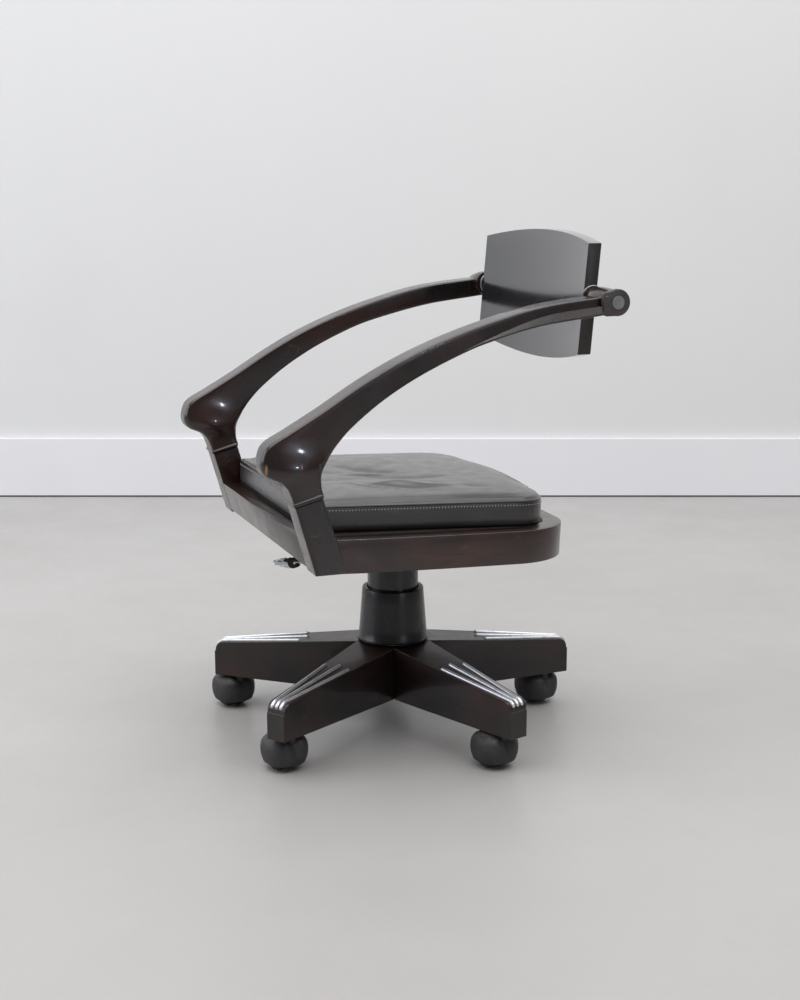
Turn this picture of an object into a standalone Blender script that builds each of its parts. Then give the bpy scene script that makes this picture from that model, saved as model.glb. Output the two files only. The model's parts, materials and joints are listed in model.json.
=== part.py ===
"""Swivel desk armchair on a five-legged castor base, in metres.

The chair faces -Y and the sitter's left side is +X.
The floor is z = 0 and the origin is below the middle of the chair's outline.
The swivel axis is vertical at y = SWIVEL_Y; the shapes are drawn about it and moved there at the end.
"""

import math

import bmesh
import bpy
import numpy as np
from mathutils import Matrix, Vector

GAP = 0.0003
SWIVEL_Y = -0.0120

# Base star
LEG_COUNT = 5
BASE_TURN = math.radians(-0.5)
LEG_REACH = 0.320
LEG_TIP_WIDTH = 0.0345
LEG_HUB_WIDTH = 0.0772
LEG_HUB_REACH = (LEG_HUB_WIDTH / 2) / math.tan(math.pi / LEG_COUNT)
LEG_BOTTOM = 0.0602
LEG_TIP_TOP = 0.1186
LEG_HUB_TOP = 0.1488
LEG_LEDGE = 0.1039
LEG_LEDGE_DEPTH = 0.0020
LEG_TIP_ROUND = 0.0140
LEG_EDGE_BEVEL = 0.0009

# Aluminium strips on each leg
STRIP_RADIUS = 0.0028
STRIP_HEIGHT = 0.0031
STRIP_HUB_REACH = {"middle": 0.150, "left": 0.158, "right": 0.158}
STRIP_HUB_OFFSET = {"middle": 0.0, "left": 0.0232, "right": -0.0232}
STRIP_TIP_OFFSET = {"middle": 0.0, "left": 0.0086, "right": -0.0086}
STRIP_END = LEG_LEDGE + 0.0070

# Hub, column and lift
HUB_RADIUS = 0.0315
HUB_FLANGE_RADIUS = 0.0500
HUB_FLANGE_BOTTOM = 0.0565
BASE_TUBE_RADIUS = 0.0250
BASE_TUBE_WALL = 0.0025
BASE_TUBE_BOTTOM = 0.0500
BASE_TUBE_TOP = 0.2350
GUIDE_LENGTH = 0.0300
PISTON_RADIUS = 0.0050
PISTON_TOP = 0.3000
LIFT_RADIUS = 0.0140
LIFT_BOTTOM = 0.1100
LIFT_TOP = 0.3620
SLEEVE_RADIUS = 0.0425
SLEEVE_WALL = 0.0030
SLEEVE_BOTTOM = 0.1560
COVER_BOTTOM = 0.1512
COVER_TOP = 0.2400
COVER_BOTTOM_RADIUS = 0.0601
COVER_TOP_RADIUS = 0.0515
COVER_RIM = 0.0020
COVER_INNER_RADIUS = 0.0442

# Castors
CASTOR_REACH = 0.2822
CASTOR_HEADING = math.radians(107.4)
HIDDEN_CASTOR_TURN = math.radians(60.0)
HIDDEN_CASTOR = 3
CASTOR_TRAIL = 0.0190
WHEEL_RADIUS = 0.0245
WHEEL_INNER = 0.0040
WHEEL_OUTER = 0.0265
AXLE_RADIUS = 0.0035
HOOD_RIM = 0.0115
HOOD_TOP = 0.0592
HOOD_HALF_WIDTH = 0.0352
HOOD_HALF_LENGTH = 0.0362
HOOD_WALL = 0.0022
HOOD_WEB = 0.0064
STEM_RADIUS = 0.0050
STEM_TOP = 0.0950

# Seat frame
FRAME_BOTTOM = 0.3384
FRAME_HEIGHT = 0.0522
FRAME_TOP = FRAME_BOTTOM + FRAME_HEIGHT
FRAME_WOOD = 0.0300
ARM_INNER = 0.2250
ARM_THICKNESS = 0.0450
ARM_OUTER = ARM_INNER + ARM_THICKNESS
SIDE_FRONT_HALF = ARM_OUTER + 0.0015
SIDE_REAR_HALF = SIDE_FRONT_HALF - 0.0145
SIDE_FRONT_Y = -0.2185
SIDE_REAR_Y = 0.1200
SIDE_BOW = 0.0030
BACK_CORNER_HALF = 0.1600
BACK_CORNER_Y = 0.2265
BACK_MIDDLE_Y = 0.2300
RAIL_BOTTOM = FRAME_BOTTOM + 0.0041
RAIL_WOOD = 0.0250
RAIL_LEAN = 0.2890
RAIL_FRONT_AT_BOTTOM = -0.2183
BOARD_THICKNESS = 0.0140
SEAT_TILT = math.radians(2.4)
SEAT_TILT_Y = -0.1870
SEAT_TILT_SLOPE = math.tan(SEAT_TILT)

# Steel seat plate and lever
PLATE_HALF_WIDTH = 0.0950
PLATE_HALF_LENGTH = 0.0850
PLATE_THICKNESS = 0.0030
BOSS_RADIUS = 0.0215
BOSS_BOTTOM = 0.3300
LEVER_PIVOT_X = 0.0235
LEVER_PIVOT_Y = -0.0560
LEVER_PIVOT_Z = 0.3500
LEVER_KNEE_X = 0.0600
LEVER_KNEE_Y = -0.1100
LEVER_KNEE_Z = 0.3290
LEVER_ELBOW_X = 0.0930
LEVER_ELBOW_Y = -0.1600
LEVER_ELBOW_Z = 0.3155
LEVER_TIP_X = 0.0965
LEVER_TIP_Y = -0.2330
LEVER_TIP_Z = 0.3220
LEVER_PIVOT = Vector((LEVER_PIVOT_X, LEVER_PIVOT_Y, LEVER_PIVOT_Z))
LEVER_KNEE = Vector((LEVER_KNEE_X, LEVER_KNEE_Y, LEVER_KNEE_Z))
LEVER_ELBOW = Vector((LEVER_ELBOW_X, LEVER_ELBOW_Y, LEVER_ELBOW_Z))
LEVER_TIP = Vector((LEVER_TIP_X, LEVER_TIP_Y, LEVER_TIP_Z))
LEVER_PADDLE = 0.0150
LEVER_RADIUS = 0.0030
LEVER_EYE_RADIUS = 0.0070
LEVER_PIN_RADIUS = 0.0030
GRIP_RADIUS = 0.0078
GRIP_RIB = 0.0011
GRIP_RIBS = 5
GRIP_LENGTH = 0.0250

# Arms
ARM_BOSS_RADIUS = 0.0205
ARM_BOSS_INNER = ARM_INNER - 0.0065
ARM_BOSS_OUTER = ARM_OUTER + 0.0130
ARM_FRONT_Y = -0.2972
POST_DEPTH = 0.0478
POST_HEIGHT = 0.0514
POST_TOP = FRAME_TOP + POST_HEIGHT
POST_TOP_SLOPE = 0.0115
RING_PITCH = 0.0025
RING_SWELL = 0.0022

# Backrest
PIVOT_Y = 0.2615
PIVOT_Z = 0.7270
PANEL_HALF_WIDTH = ARM_BOSS_INNER - 0.0205
PANEL_THICKNESS = 0.0225
PANEL_CENTRE_Y = PIVOT_Y - 0.0055
PANEL_END_TOP = PIVOT_Z + 0.0862
PANEL_END_BOTTOM = PIVOT_Z - 0.0868
PANEL_TOP_ARCH = 0.0164
PANEL_BOTTOM_ARCH = 0.0204
PANEL_HOLLOW = 0.0156
PANEL_SHIFT = 0.0149
PANEL_LEAN = PANEL_SHIFT / (PANEL_END_TOP - PANEL_END_BOTTOM)
PIN_HEAD_RADIUS = 0.0105
PIN_RADIUS = 0.0045
PIN_DEPTH = 0.0260
COLLAR_RADIUS = 0.0205
COLLAR_NECK_RADIUS = 0.0130
COLLAR_DISC = 0.0045

# Cushion
CUSHION_BOTTOM = FRAME_TOP + GAP
CUSHION_SIDE = 0.0391
CUSHION_SEAM = CUSHION_BOTTOM + CUSHION_SIDE
CUSHION_CROWN = 0.0225
CUSHION_FRONT_Y = -0.2080
CUSHION_TO_ARM = 0.0012
CUSHION_FRONT_HALF = ARM_INNER - CUSHION_TO_ARM
CUSHION_SPLAY = 0.0050
CUSHION_BACK_Y = 0.1850
CUSHION_BACK_RADIUS = 0.0650
CUSHION_FRONT_RADIUS = 0.0160
CUSHION_BULGE = 0.0040
CUSHION_DRAW_IN = 0.0016
CROWN_CENTRE_Y = -0.0115


def clear_scene():
    """Removes every object of the startup scene."""
    for item in list(bpy.data.objects):
        bpy.data.objects.remove(item, do_unlink=True)


def linear(channel):
    """One sRGB channel as linear light."""
    if channel <= 0.04045:
        return channel / 12.92
    return ((channel + 0.055) / 1.055) ** 2.4


def new_material(name, colour, roughness, metallic=0.0, coat=0.0):
    """A named Principled material from an sRGB hex colour."""
    channels = [int(colour[i : i + 2], 16) / 255 for i in (0, 2, 4)]
    material = bpy.data.materials.new(name)
    material.use_nodes = True
    shader = material.node_tree.nodes["Principled BSDF"]
    shader.inputs["Base Color"].default_value = (*map(linear, channels), 1.0)
    shader.inputs["Roughness"].default_value = roughness
    shader.inputs["Metallic"].default_value = metallic
    shader.inputs["Coat Weight"].default_value = coat
    return material


def mesh_object(name, points, faces, material, origin=(0, 0, 0), smooth=35.0):
    """One closed mesh whose points are given in world space, with its origin moved to `origin`."""
    shift = Vector(origin)
    mesh = bpy.data.meshes.new(name)
    mesh.from_pydata([Vector(p) - shift for p in points], [], faces)
    work = bmesh.new()
    work.from_mesh(mesh)
    bmesh.ops.remove_doubles(work, verts=work.verts, dist=1e-7)
    bmesh.ops.recalc_face_normals(work, faces=work.faces)
    work.to_mesh(mesh)
    work.free()
    mesh.shade_smooth()
    mesh.set_sharp_from_angle(angle=math.radians(smooth))
    mesh.materials.append(material)
    item = bpy.data.objects.new(name, mesh)
    item.location = shift
    bpy.context.scene.collection.objects.link(item)
    return item


def loft(rings):
    """Points and faces of a solid through closed rings of equal length, with flat ends."""
    count = len(rings[0])
    points = [tuple(p) for ring in rings for p in ring]
    faces = [tuple(range(count))]
    for i in range(len(rings) - 1):
        for j in range(count):
            k = (j + 1) % count
            faces.append((i * count + j, i * count + k, (i + 1) * count + k, (i + 1) * count + j))
    last = (len(rings) - 1) * count
    faces.append(tuple(range(last + count - 1, last - 1, -1)))
    return points, faces


def turned(profile, segments):
    """Points and faces of a closed (radius, height) profile turned round Z; radius 0 is on the axis."""
    points = []
    index = []
    for radius, height in profile:
        if radius == 0:
            index.append([len(points)] * segments)
            points.append((0.0, 0.0, height))
            continue
        index.append(list(range(len(points), len(points) + segments)))
        for step in range(segments):
            angle = 2 * math.pi * step / segments
            points.append((radius * math.cos(angle), radius * math.sin(angle), height))
    faces = []
    for i in range(len(profile)):
        a = index[i]
        b = index[(i + 1) % len(profile)]
        if profile[i][0] == 0 and profile[(i + 1) % len(profile)][0] == 0:
            continue
        for j in range(segments):
            k = (j + 1) % segments
            corners = [a[j], a[k], b[k], b[j]]
            faces.append(tuple(dict.fromkeys(corners)))
    return points, faces


def placed(points, matrix):
    """The points moved by a matrix."""
    return [matrix @ Vector(p) for p in points]


def along_x(start):
    """The matrix that turns +Z into +X and moves the origin to `start`."""
    return Matrix.Translation(start) @ Matrix.Rotation(math.pi / 2, 4, "Y")


def cutter_object(name, points, faces):
    """A hidden solid that only serves a Boolean."""
    mesh = bpy.data.meshes.new(name)
    mesh.from_pydata([Vector(p) for p in points], [], faces)
    work = bmesh.new()
    work.from_mesh(mesh)
    bmesh.ops.recalc_face_normals(work, faces=work.faces)
    work.to_mesh(mesh)
    work.free()
    item = bpy.data.objects.new(name, mesh)
    item.hide_render = True
    item.display_type = "WIRE"
    bpy.context.scene.collection.objects.link(item)
    return item


def add_boolean(item, other, operation):
    """Adds an exact Boolean with a hidden solid."""
    modifier = item.modifiers.new(other.name, "BOOLEAN")
    modifier.operation = operation
    modifier.solver = "EXACT"
    modifier.object = other
    return modifier


def add_bevel(item, width, segments=1, angle=40.0):
    """Adds a small edge bevel."""
    modifier = item.modifiers.new("edges", "BEVEL")
    modifier.width = width
    modifier.segments = segments
    modifier.limit_method = "ANGLE"
    modifier.angle_limit = math.radians(angle)
    modifier.harden_normals = False
    return modifier


def cylinder(radius, low, high, segments):
    """Points and faces of a plain round bar along Z."""
    return turned([(0, low), (radius, low), (radius, high), (0, high)], segments)


def spline(points, count):
    """Points on a smooth curve through the given points."""
    given = [np.array(p, float) for p in points]
    ends = [2 * given[0] - given[1]] + given + [2 * given[-1] - given[-2]]
    spans = len(given) - 1
    found = []
    for step in range(count):
        t = step / (count - 1) * spans
        i = min(int(t), spans - 1)
        f = t - i
        a, b, c, d = ends[i : i + 4]
        curve = 2 * b + (c - a) * f + (2 * a - 5 * b + 4 * c - d) * f**2
        curve = curve + (3 * b - a - 3 * c + d) * f**3
        found.append(curve / 2)
    return found


# Base star


def leg_heading(number):
    """Angle of a leg from the front, turning toward the sitter's left."""
    return math.pi / LEG_COUNT + BASE_TURN + 2 * math.pi * number / LEG_COUNT


def leg_matrix(number):
    """Frame of a leg: x across it, y outward along it."""
    return Matrix.Rotation(leg_heading(number) - math.pi, 4, "Z")


def leg_width(reach):
    """Width of a leg at a distance from the swivel axis."""
    share = (reach - LEG_HUB_REACH) / (LEG_REACH - LEG_HUB_REACH)
    return LEG_HUB_WIDTH + (LEG_TIP_WIDTH - LEG_HUB_WIDTH) * share


def leg_top(reach):
    """Height of a leg's upper face at a distance from the swivel axis."""
    share = (reach - LEG_HUB_REACH) / (LEG_REACH - LEG_HUB_REACH)
    return LEG_HUB_TOP + (LEG_TIP_TOP - LEG_HUB_TOP) * share


def tip_arc(steps, lowest=0.0):
    """(reach, height) points round the upper outer corner of a leg, from an angle up to its top."""
    face = LEG_REACH - LEG_LEDGE_DEPTH
    centre = face - LEG_TIP_ROUND
    height = leg_top(centre) - LEG_TIP_ROUND
    found = []
    for step in range(steps + 1):
        angle = lowest + (math.pi / 2 - lowest) * step / steps
        found.append((centre + LEG_TIP_ROUND * math.cos(angle), height + LEG_TIP_ROUND * math.sin(angle)))
    return found


def build_leg(number, wood):
    """One tapered leg with mitred flanks at the hub and a round upper tip."""
    side = [(LEG_HUB_REACH, LEG_BOTTOM), (LEG_REACH, LEG_BOTTOM), (LEG_REACH, LEG_LEDGE)]
    side.append((LEG_REACH - LEG_LEDGE_DEPTH, LEG_LEDGE))
    side.extend(tip_arc(5))
    side.append((LEG_HUB_REACH, leg_top(LEG_HUB_REACH)))
    half = math.pi / LEG_COUNT
    arc_steps = 4
    inner = (HUB_RADIUS + GAP) / math.cos(half / arc_steps)
    points = []
    for sign in (1, -1):
        points.extend((sign * (leg_width(r) / 2 - GAP / 2), r, z) for r, z in side)
    hub = []
    for step in range(arc_steps + 1):
        angle = half * (1 - 2 * step / arc_steps)
        hub.append((inner * math.sin(angle), inner * math.cos(angle)))
    hub[0] = (hub[0][0] - GAP / 2, hub[0][1])
    hub[-1] = (hub[-1][0] + GAP / 2, hub[-1][1])
    low = len(points)
    points.extend((x, y, LEG_BOTTOM) for x, y in hub)
    high = len(points)
    points.extend((x, y, leg_top(y)) for x, y in hub)
    count = len(side)
    last = arc_steps
    faces = [tuple(range(count)), tuple(range(2 * count - 1, count - 1, -1))]
    for i in range(1, count - 2):
        faces.append((i, i + 1, count + i + 1, count + i))
    faces.append((0, 1, count + 1, count, *range(low + last, low - 1, -1)))
    top = count - 1
    faces.append((top - 1, top, *range(high, high + last + 1), count + top, count + top - 1))
    faces.append((0, low, high, top))
    faces.append((count, count + top, high + last, low + last))
    for i in range(arc_steps):
        faces.append((low + i, low + i + 1, high + i + 1, high + i))
    item = mesh_object(f"leg_{number + 1}", placed(points, leg_matrix(number)), faces, wood)
    bore, bore_faces = cylinder(STEM_RADIUS + 2 * GAP, LEG_BOTTOM - 0.01, STEM_TOP + 0.001, 12)
    bore = placed(bore, leg_matrix(number) @ Matrix.Translation((0, CASTOR_REACH, 0)))
    add_boolean(item, cutter_object(f"stem_bore_{number + 1}", bore, bore_faces), "DIFFERENCE")
    add_bevel(item, LEG_EDGE_BEVEL)
    return item


def strip_path(place):
    """(across, reach, height) points and outward tilts of one strip's foot."""
    hub_reach = STRIP_HUB_REACH[place]
    hub_offset = STRIP_HUB_OFFSET[place]
    tip_offset = STRIP_TIP_OFFSET[place]
    centre = leg_top(LEG_REACH - LEG_LEDGE_DEPTH - LEG_TIP_ROUND) - LEG_TIP_ROUND
    lowest = math.asin(max(0.0, (STRIP_END - centre) / LEG_TIP_ROUND))
    arc = tip_arc(4, lowest)[::-1]
    start = arc[0][0]
    slope = math.atan2(leg_top(hub_reach) - leg_top(start), start - hub_reach)

    def across(reach):
        share = min(1.0, (reach - hub_reach) / (start - hub_reach))
        return hub_offset + (tip_offset - hub_offset) * share

    stations = [(hub_reach, leg_top(hub_reach), slope)]
    for step, (reach, height) in enumerate(arc):
        stations.append((reach, height, max(slope, (math.pi / 2 - lowest) * step / (len(arc) - 1))))
    return [(across(reach), reach, height, tilt) for reach, height, tilt in stations]


def strip_ring(across, reach, height, tilt, scale=1.0):
    """Half-round section of a strip, lifted by the gap off the wood."""
    outward = Vector((0, math.sin(tilt), math.cos(tilt)))
    foot = Vector((across, reach, height)) + outward * GAP
    ring = []
    for step in range(5):
        angle = math.pi * step / 4
        side = Vector((math.cos(angle) * STRIP_RADIUS * scale, 0, 0))
        ring.append(foot + side + outward * (math.sin(angle) * STRIP_HEIGHT * scale))
    return ring


def build_strip(number, place, metal):
    """One half-round aluminium strip that bends over the leg's tip."""
    path = strip_path(place)
    rings = []
    first = path[0]
    along = Vector((path[1][0] - first[0], path[1][1] - first[1], path[1][2] - first[2])).normalized()
    for back, scale in ((STRIP_RADIUS, 0.25), (STRIP_RADIUS * 0.6, 0.80)):
        moved = Vector(first[:3]) - along * back
        rings.append(strip_ring(*moved, first[3], scale))
    rings.extend(strip_ring(*station) for station in path)
    last = path[-1]
    down = Vector((0, math.cos(last[3]), -math.sin(last[3])))
    for ahead, scale in ((STRIP_RADIUS * 0.6, 0.80), (STRIP_RADIUS, 0.25)):
        rings.append(strip_ring(*(Vector(last[:3]) + down * ahead), last[3], scale))
    points, faces = loft(rings)
    points = placed(points, leg_matrix(number))
    return mesh_object(f"strip_{number + 1}_{place}", points, faces, metal, smooth=50)


def build_hub(steel):
    """Steel sleeve with a flange under the legs."""
    bore = BASE_TUBE_RADIUS + GAP
    flange_top = LEG_BOTTOM - GAP
    profile = [(bore, HUB_FLANGE_BOTTOM), (HUB_FLANGE_RADIUS, HUB_FLANGE_BOTTOM)]
    profile += [(HUB_FLANGE_RADIUS, flange_top), (HUB_RADIUS, flange_top)]
    profile += [(HUB_RADIUS, LEG_HUB_TOP), (bore, LEG_HUB_TOP)]
    return mesh_object("base_hub", *turned(profile, 32), steel)


def build_base_tube(steel):
    """Outer tube of the lift, closed below and narrowed to a guide on top."""
    inner = BASE_TUBE_RADIUS - BASE_TUBE_WALL
    guide = LIFT_RADIUS + GAP
    profile = [(0, BASE_TUBE_BOTTOM), (BASE_TUBE_RADIUS, BASE_TUBE_BOTTOM)]
    profile += [(BASE_TUBE_RADIUS, BASE_TUBE_TOP), (guide, BASE_TUBE_TOP)]
    profile += [(guide, BASE_TUBE_TOP - GUIDE_LENGTH), (inner, BASE_TUBE_TOP - GUIDE_LENGTH)]
    profile += [(inner, BASE_TUBE_BOTTOM + BASE_TUBE_WALL), (0, BASE_TUBE_BOTTOM + BASE_TUBE_WALL)]
    return mesh_object("base_tube", *turned(profile, 28), steel)


def build_piston_rod(steel):
    """Thin rod standing in the base tube."""
    low = BASE_TUBE_BOTTOM + BASE_TUBE_WALL + GAP
    return mesh_object("piston_rod", *cylinder(PISTON_RADIUS, low, PISTON_TOP, 16), steel)


def build_lift_cylinder(steel):
    """Moving cylinder of the lift, bored from below for the piston rod."""
    bore = PISTON_RADIUS + GAP
    profile = [(bore, LIFT_BOTTOM), (LIFT_RADIUS, LIFT_BOTTOM), (LIFT_RADIUS, LIFT_TOP - 0.001)]
    profile += [(LIFT_RADIUS - 0.001, LIFT_TOP), (0, LIFT_TOP), (0, PISTON_TOP + 0.012)]
    profile += [(bore, PISTON_TOP + 0.012)]
    return mesh_object("lift_cylinder", *turned(profile, 32), steel)


def build_cover(paint):
    """Tapered cover round the lower column."""
    rim = COVER_TOP_RADIUS
    foot = COVER_BOTTOM_RADIUS
    profile = [(COVER_INNER_RADIUS, COVER_BOTTOM), (foot, COVER_BOTTOM)]
    profile += [(foot, COVER_BOTTOM + COVER_RIM), (foot - 0.0010, COVER_BOTTOM + COVER_RIM + 0.0010)]
    profile += [(rim, COVER_TOP - COVER_RIM), (rim - 0.0010, COVER_TOP), (COVER_INNER_RADIUS, COVER_TOP)]
    return mesh_object("column_cover", *turned(profile, 36), paint, smooth=30)


def build_sleeve(paint):
    """Upper column sleeve, hung on the seat plate."""
    top = seat_height(SLEEVE_RADIUS, BOARD_THICKNESS + PLATE_THICKNESS + 2 * GAP)
    inner = SLEEVE_RADIUS - SLEEVE_WALL
    collar = BOSS_RADIUS + GAP
    profile = [(inner, SLEEVE_BOTTOM), (SLEEVE_RADIUS, SLEEVE_BOTTOM), (SLEEVE_RADIUS, top)]
    profile += [(collar, top), (collar, top - 0.003), (inner, top - 0.003)]
    return mesh_object("lift_sleeve", *turned(profile, 36), paint)


# Castors


def castor_matrix(number):
    """Frame of a castor: x along its axle, y toward the trailing side, origin on its stem at the floor."""
    spot = leg_matrix(number) @ Vector((0, CASTOR_REACH, 0))
    heading = CASTOR_HEADING + (HIDDEN_CASTOR_TURN if number == HIDDEN_CASTOR else 0.0)
    return Matrix.Translation(spot) @ Matrix.Rotation(heading, 4, "Z")


def hood_ring(half_width, half_length, height, count):
    """Rounded outline of the hood at one height."""
    ring = []
    for step in range(count):
        angle = 2 * math.pi * (step + 0.5) / count
        c = math.cos(angle)
        s = math.sin(angle)
        power = 2 / 2.5
        x = math.copysign(abs(c) ** power, c) * half_width
        y = math.copysign(abs(s) ** power, s) * half_length + CASTOR_TRAIL
        ring.append(Vector((x, y, height)))
    return ring


def hood_swell(height):
    """Share of the full width that the hood has at one height."""
    middle = 0.032
    if height < middle:
        return 1 - 0.14 * ((middle - height) / (middle - HOOD_RIM)) ** 2
    rise = (height - middle) / (HOOD_TOP - middle)
    return (1 - rise**3.2 * 0.92) ** 0.5


def hood_shell(count):
    """Closed shell: up the outside, over the top, and back down the inside."""
    outer_heights = [HOOD_RIM + (HOOD_TOP - HOOD_RIM) * share for share in (0, 0.30, 0.58, 0.80, 0.94, 1)]
    rings = []
    for height in outer_heights:
        swell = hood_swell(height)
        rings.append(hood_ring(HOOD_HALF_WIDTH * swell, HOOD_HALF_LENGTH * swell, height, count))
    inner = []
    for height in (outer_heights[0], outer_heights[2], outer_heights[4], outer_heights[5]):
        swell = hood_swell(height)
        lowered = HOOD_RIM + (height - HOOD_RIM) * (HOOD_TOP - HOOD_WALL - HOOD_RIM) / (HOOD_TOP - HOOD_RIM)
        width = HOOD_HALF_WIDTH * swell - HOOD_WALL
        length = HOOD_HALF_LENGTH * swell - HOOD_WALL
        inner.append(hood_ring(width, length, lowered, count))
    return loft(rings[::-1] + inner)


def build_hood(number, plastic):
    """Castor hood with its middle web, axle stubs and stem boss."""
    frame = castor_matrix(number)
    points, faces = hood_shell(18)
    spot = frame.translation
    item = mesh_object(f"castor_hood_{number + 1}", placed(points, frame), faces, plastic, origin=spot)
    half = HOOD_WEB / 2
    low = WHEEL_RADIUS - 0.0080
    high = HOOD_TOP - HOOD_WALL / 2
    front = CASTOR_TRAIL - HOOD_HALF_LENGTH * 0.60
    back = CASTOR_TRAIL + HOOD_HALF_LENGTH * 0.60
    web_side = [(front, HOOD_TOP - 0.014), (CASTOR_TRAIL - 0.007, low), (CASTOR_TRAIL + 0.007, low)]
    web_side += [(back, HOOD_TOP - 0.014), (back, high), (front, high)]
    web, web_faces = loft([[Vector((x, y, z)) for y, z in web_side] for x in (-half, half)])
    add_boolean(item, cutter_object(f"castor_web_{number + 1}", placed(web, frame), web_faces), "UNION")
    boss, boss_faces = cylinder(STEM_RADIUS + 0.0032, 0.0478, high, 12)
    add_boolean(item, cutter_object(f"castor_boss_{number + 1}", placed(boss, frame), boss_faces), "UNION")
    axle, axle_faces = cylinder(AXLE_RADIUS, -0.0240, 0.0240, 10)
    axle = placed(axle, frame @ along_x((0, CASTOR_TRAIL, WHEEL_RADIUS)))
    add_boolean(item, cutter_object(f"castor_axle_{number + 1}", axle, axle_faces), "UNION")
    bore, bore_faces = cylinder(STEM_RADIUS + 2 * GAP, 0.0300, HOOD_TOP + 0.01, 12)
    bore = cutter_object(f"castor_bore_{number + 1}", placed(bore, frame), bore_faces)
    add_boolean(item, bore, "DIFFERENCE")
    return item


def build_stem(number, steel):
    """Plain steel stem between the leg and the hood."""
    frame = castor_matrix(number)
    points, faces = cylinder(STEM_RADIUS, 0.0480, STEM_TOP, 12)
    points = placed(points, frame)
    return mesh_object(f"castor_stem_{number + 1}", points, faces, steel, origin=frame.translation)


def wheel_profile():
    """(radius, distance from the hood's middle) outline of a wheel."""
    bore = AXLE_RADIUS + GAP
    face = WHEEL_INNER
    end = WHEEL_OUTER
    profile = [(bore, face), (WHEEL_RADIUS - 0.0010, face), (WHEEL_RADIUS, face + 0.0040)]
    profile += [(WHEEL_RADIUS, face + 0.0125), (WHEEL_RADIUS * 0.91, face + 0.0182)]
    profile += [(WHEEL_RADIUS * 0.78, end - 0.0018), (WHEEL_RADIUS * 0.55, end), (bore, end)]
    return profile


def build_wheel(number, side, rubber):
    """One half-ball wheel of a castor."""
    frame = castor_matrix(number)
    sign = 1 if side == "left" else -1
    points, faces = turned(wheel_profile(), 16)
    turn = Matrix.Rotation(sign * math.pi / 2, 4, "Y")
    place = frame @ Matrix.Translation((0, CASTOR_TRAIL, WHEEL_RADIUS)) @ turn
    name = f"castor_wheel_{number + 1}_{side}"
    return mesh_object(name, placed(points, place), faces, rubber, origin=place.translation)


# Seat


def front_plane(height):
    """Y of the leaning front face at a height."""
    return RAIL_FRONT_AT_BOTTOM - RAIL_LEAN * (height - FRAME_BOTTOM)


def seat_matrix():
    """Turns the level seat back and down about the line where it meets the arm posts."""
    centre = Matrix.Translation((0, SEAT_TILT_Y, FRAME_TOP))
    return centre @ Matrix.Rotation(-SEAT_TILT, 4, "X") @ centre.inverted()


def seat_height(y, depth):
    """Height of the tilted plane that lies a depth below the frame's top."""
    return FRAME_TOP - depth - SEAT_TILT_SLOPE * (y - SEAT_TILT_Y)


def post_back(height):
    """Y of the arm post's back face at a height, as the tilted seat sees it."""
    return front_plane(height) + POST_DEPTH + GAP + SEAT_TILT_SLOPE * (FRAME_TOP - height)


def hoop_outline(inset, front_y):
    """Half outline of the hoop from the front end to the middle of the back."""
    points = []
    steps = 7
    start = (front_y - SIDE_FRONT_Y) / (SIDE_REAR_Y - SIDE_FRONT_Y)
    for step in range(steps + 1):
        t = start + (1 - start) * step / steps
        x = SIDE_FRONT_HALF + (SIDE_REAR_HALF - SIDE_FRONT_HALF) * t
        x += SIDE_BOW * math.sin(math.pi * t)
        points.append((x, SIDE_FRONT_Y + (SIDE_REAR_Y - SIDE_FRONT_Y) * t))
    for step in range(1, 8):
        t = step / 7
        a = Vector((SIDE_REAR_HALF, SIDE_REAR_Y))
        b = a + Vector((-0.0045, 0.052))
        d = Vector((BACK_CORNER_HALF, BACK_CORNER_Y))
        c = d + Vector((0.052, -0.0040))
        spot = a * (1 - t) ** 3 + b * 3 * t * (1 - t) ** 2 + c * 3 * t**2 * (1 - t) + d * t**3
        points.append((spot.x, spot.y))
    for step in range(1, 5):
        t = step / 4
        bow = (BACK_MIDDLE_Y - BACK_CORNER_Y) * (1 - (1 - t) ** 2)
        points.append((BACK_CORNER_HALF * (1 - t), BACK_CORNER_Y + bow))
    moved = offset_inward(points, inset)
    return [(moved[0][0], front_y)] + moved[1:]


def offset_inward(points, inset):
    """The half outline moved inward by a distance."""
    found = []
    for i, (x, y) in enumerate(points):
        before = points[max(0, i - 1)]
        after = points[min(len(points) - 1, i + 1)]
        if i == len(points) - 1:
            found.append((0.0, y - inset))
            continue
        along = Vector((after[0] - before[0], after[1] - before[1])).normalized()
        found.append((x - along.y * inset, y + along.x * inset))
    return found


def both_sides(half):
    """A half outline and its mirror, from the sitter's left to the right."""
    return half + [(-x, y) for x, y in half[-2::-1]]


def build_hoop(wood):
    """D-shaped seat apron: two sides and the back, one bent piece of wood."""
    rings_low = hoop_band(FRAME_BOTTOM)
    rings_high = hoop_band(FRAME_TOP)
    count = len(rings_low[0])
    points = rings_low[0] + rings_low[1] + rings_high[0] + rings_high[1]
    faces = []
    for i in range(count - 1):
        for a, b in ((0, 1), (3, 2), (2, 0), (1, 3)):
            faces.append((a * count + i, a * count + i + 1, b * count + i + 1, b * count + i))
    faces.append((0, count, 3 * count, 2 * count))
    last = count - 1
    faces.append((last, 2 * count + last, 3 * count + last, count + last))
    item = mesh_object("seat_hoop", placed(points, seat_matrix()), faces, wood, smooth=30)
    add_bevel(item, 0.0012)
    return item


def hoop_band(height):
    """Outer and inner outline of the hoop at one height, cut where the arm posts stand."""
    outer = both_sides(hoop_outline(0.0, post_back(height)))
    inner = both_sides(hoop_outline(FRAME_WOOD, post_back(height)))
    return [(x, y, height) for x, y in outer], [(x, y, height) for x, y in inner]


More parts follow.
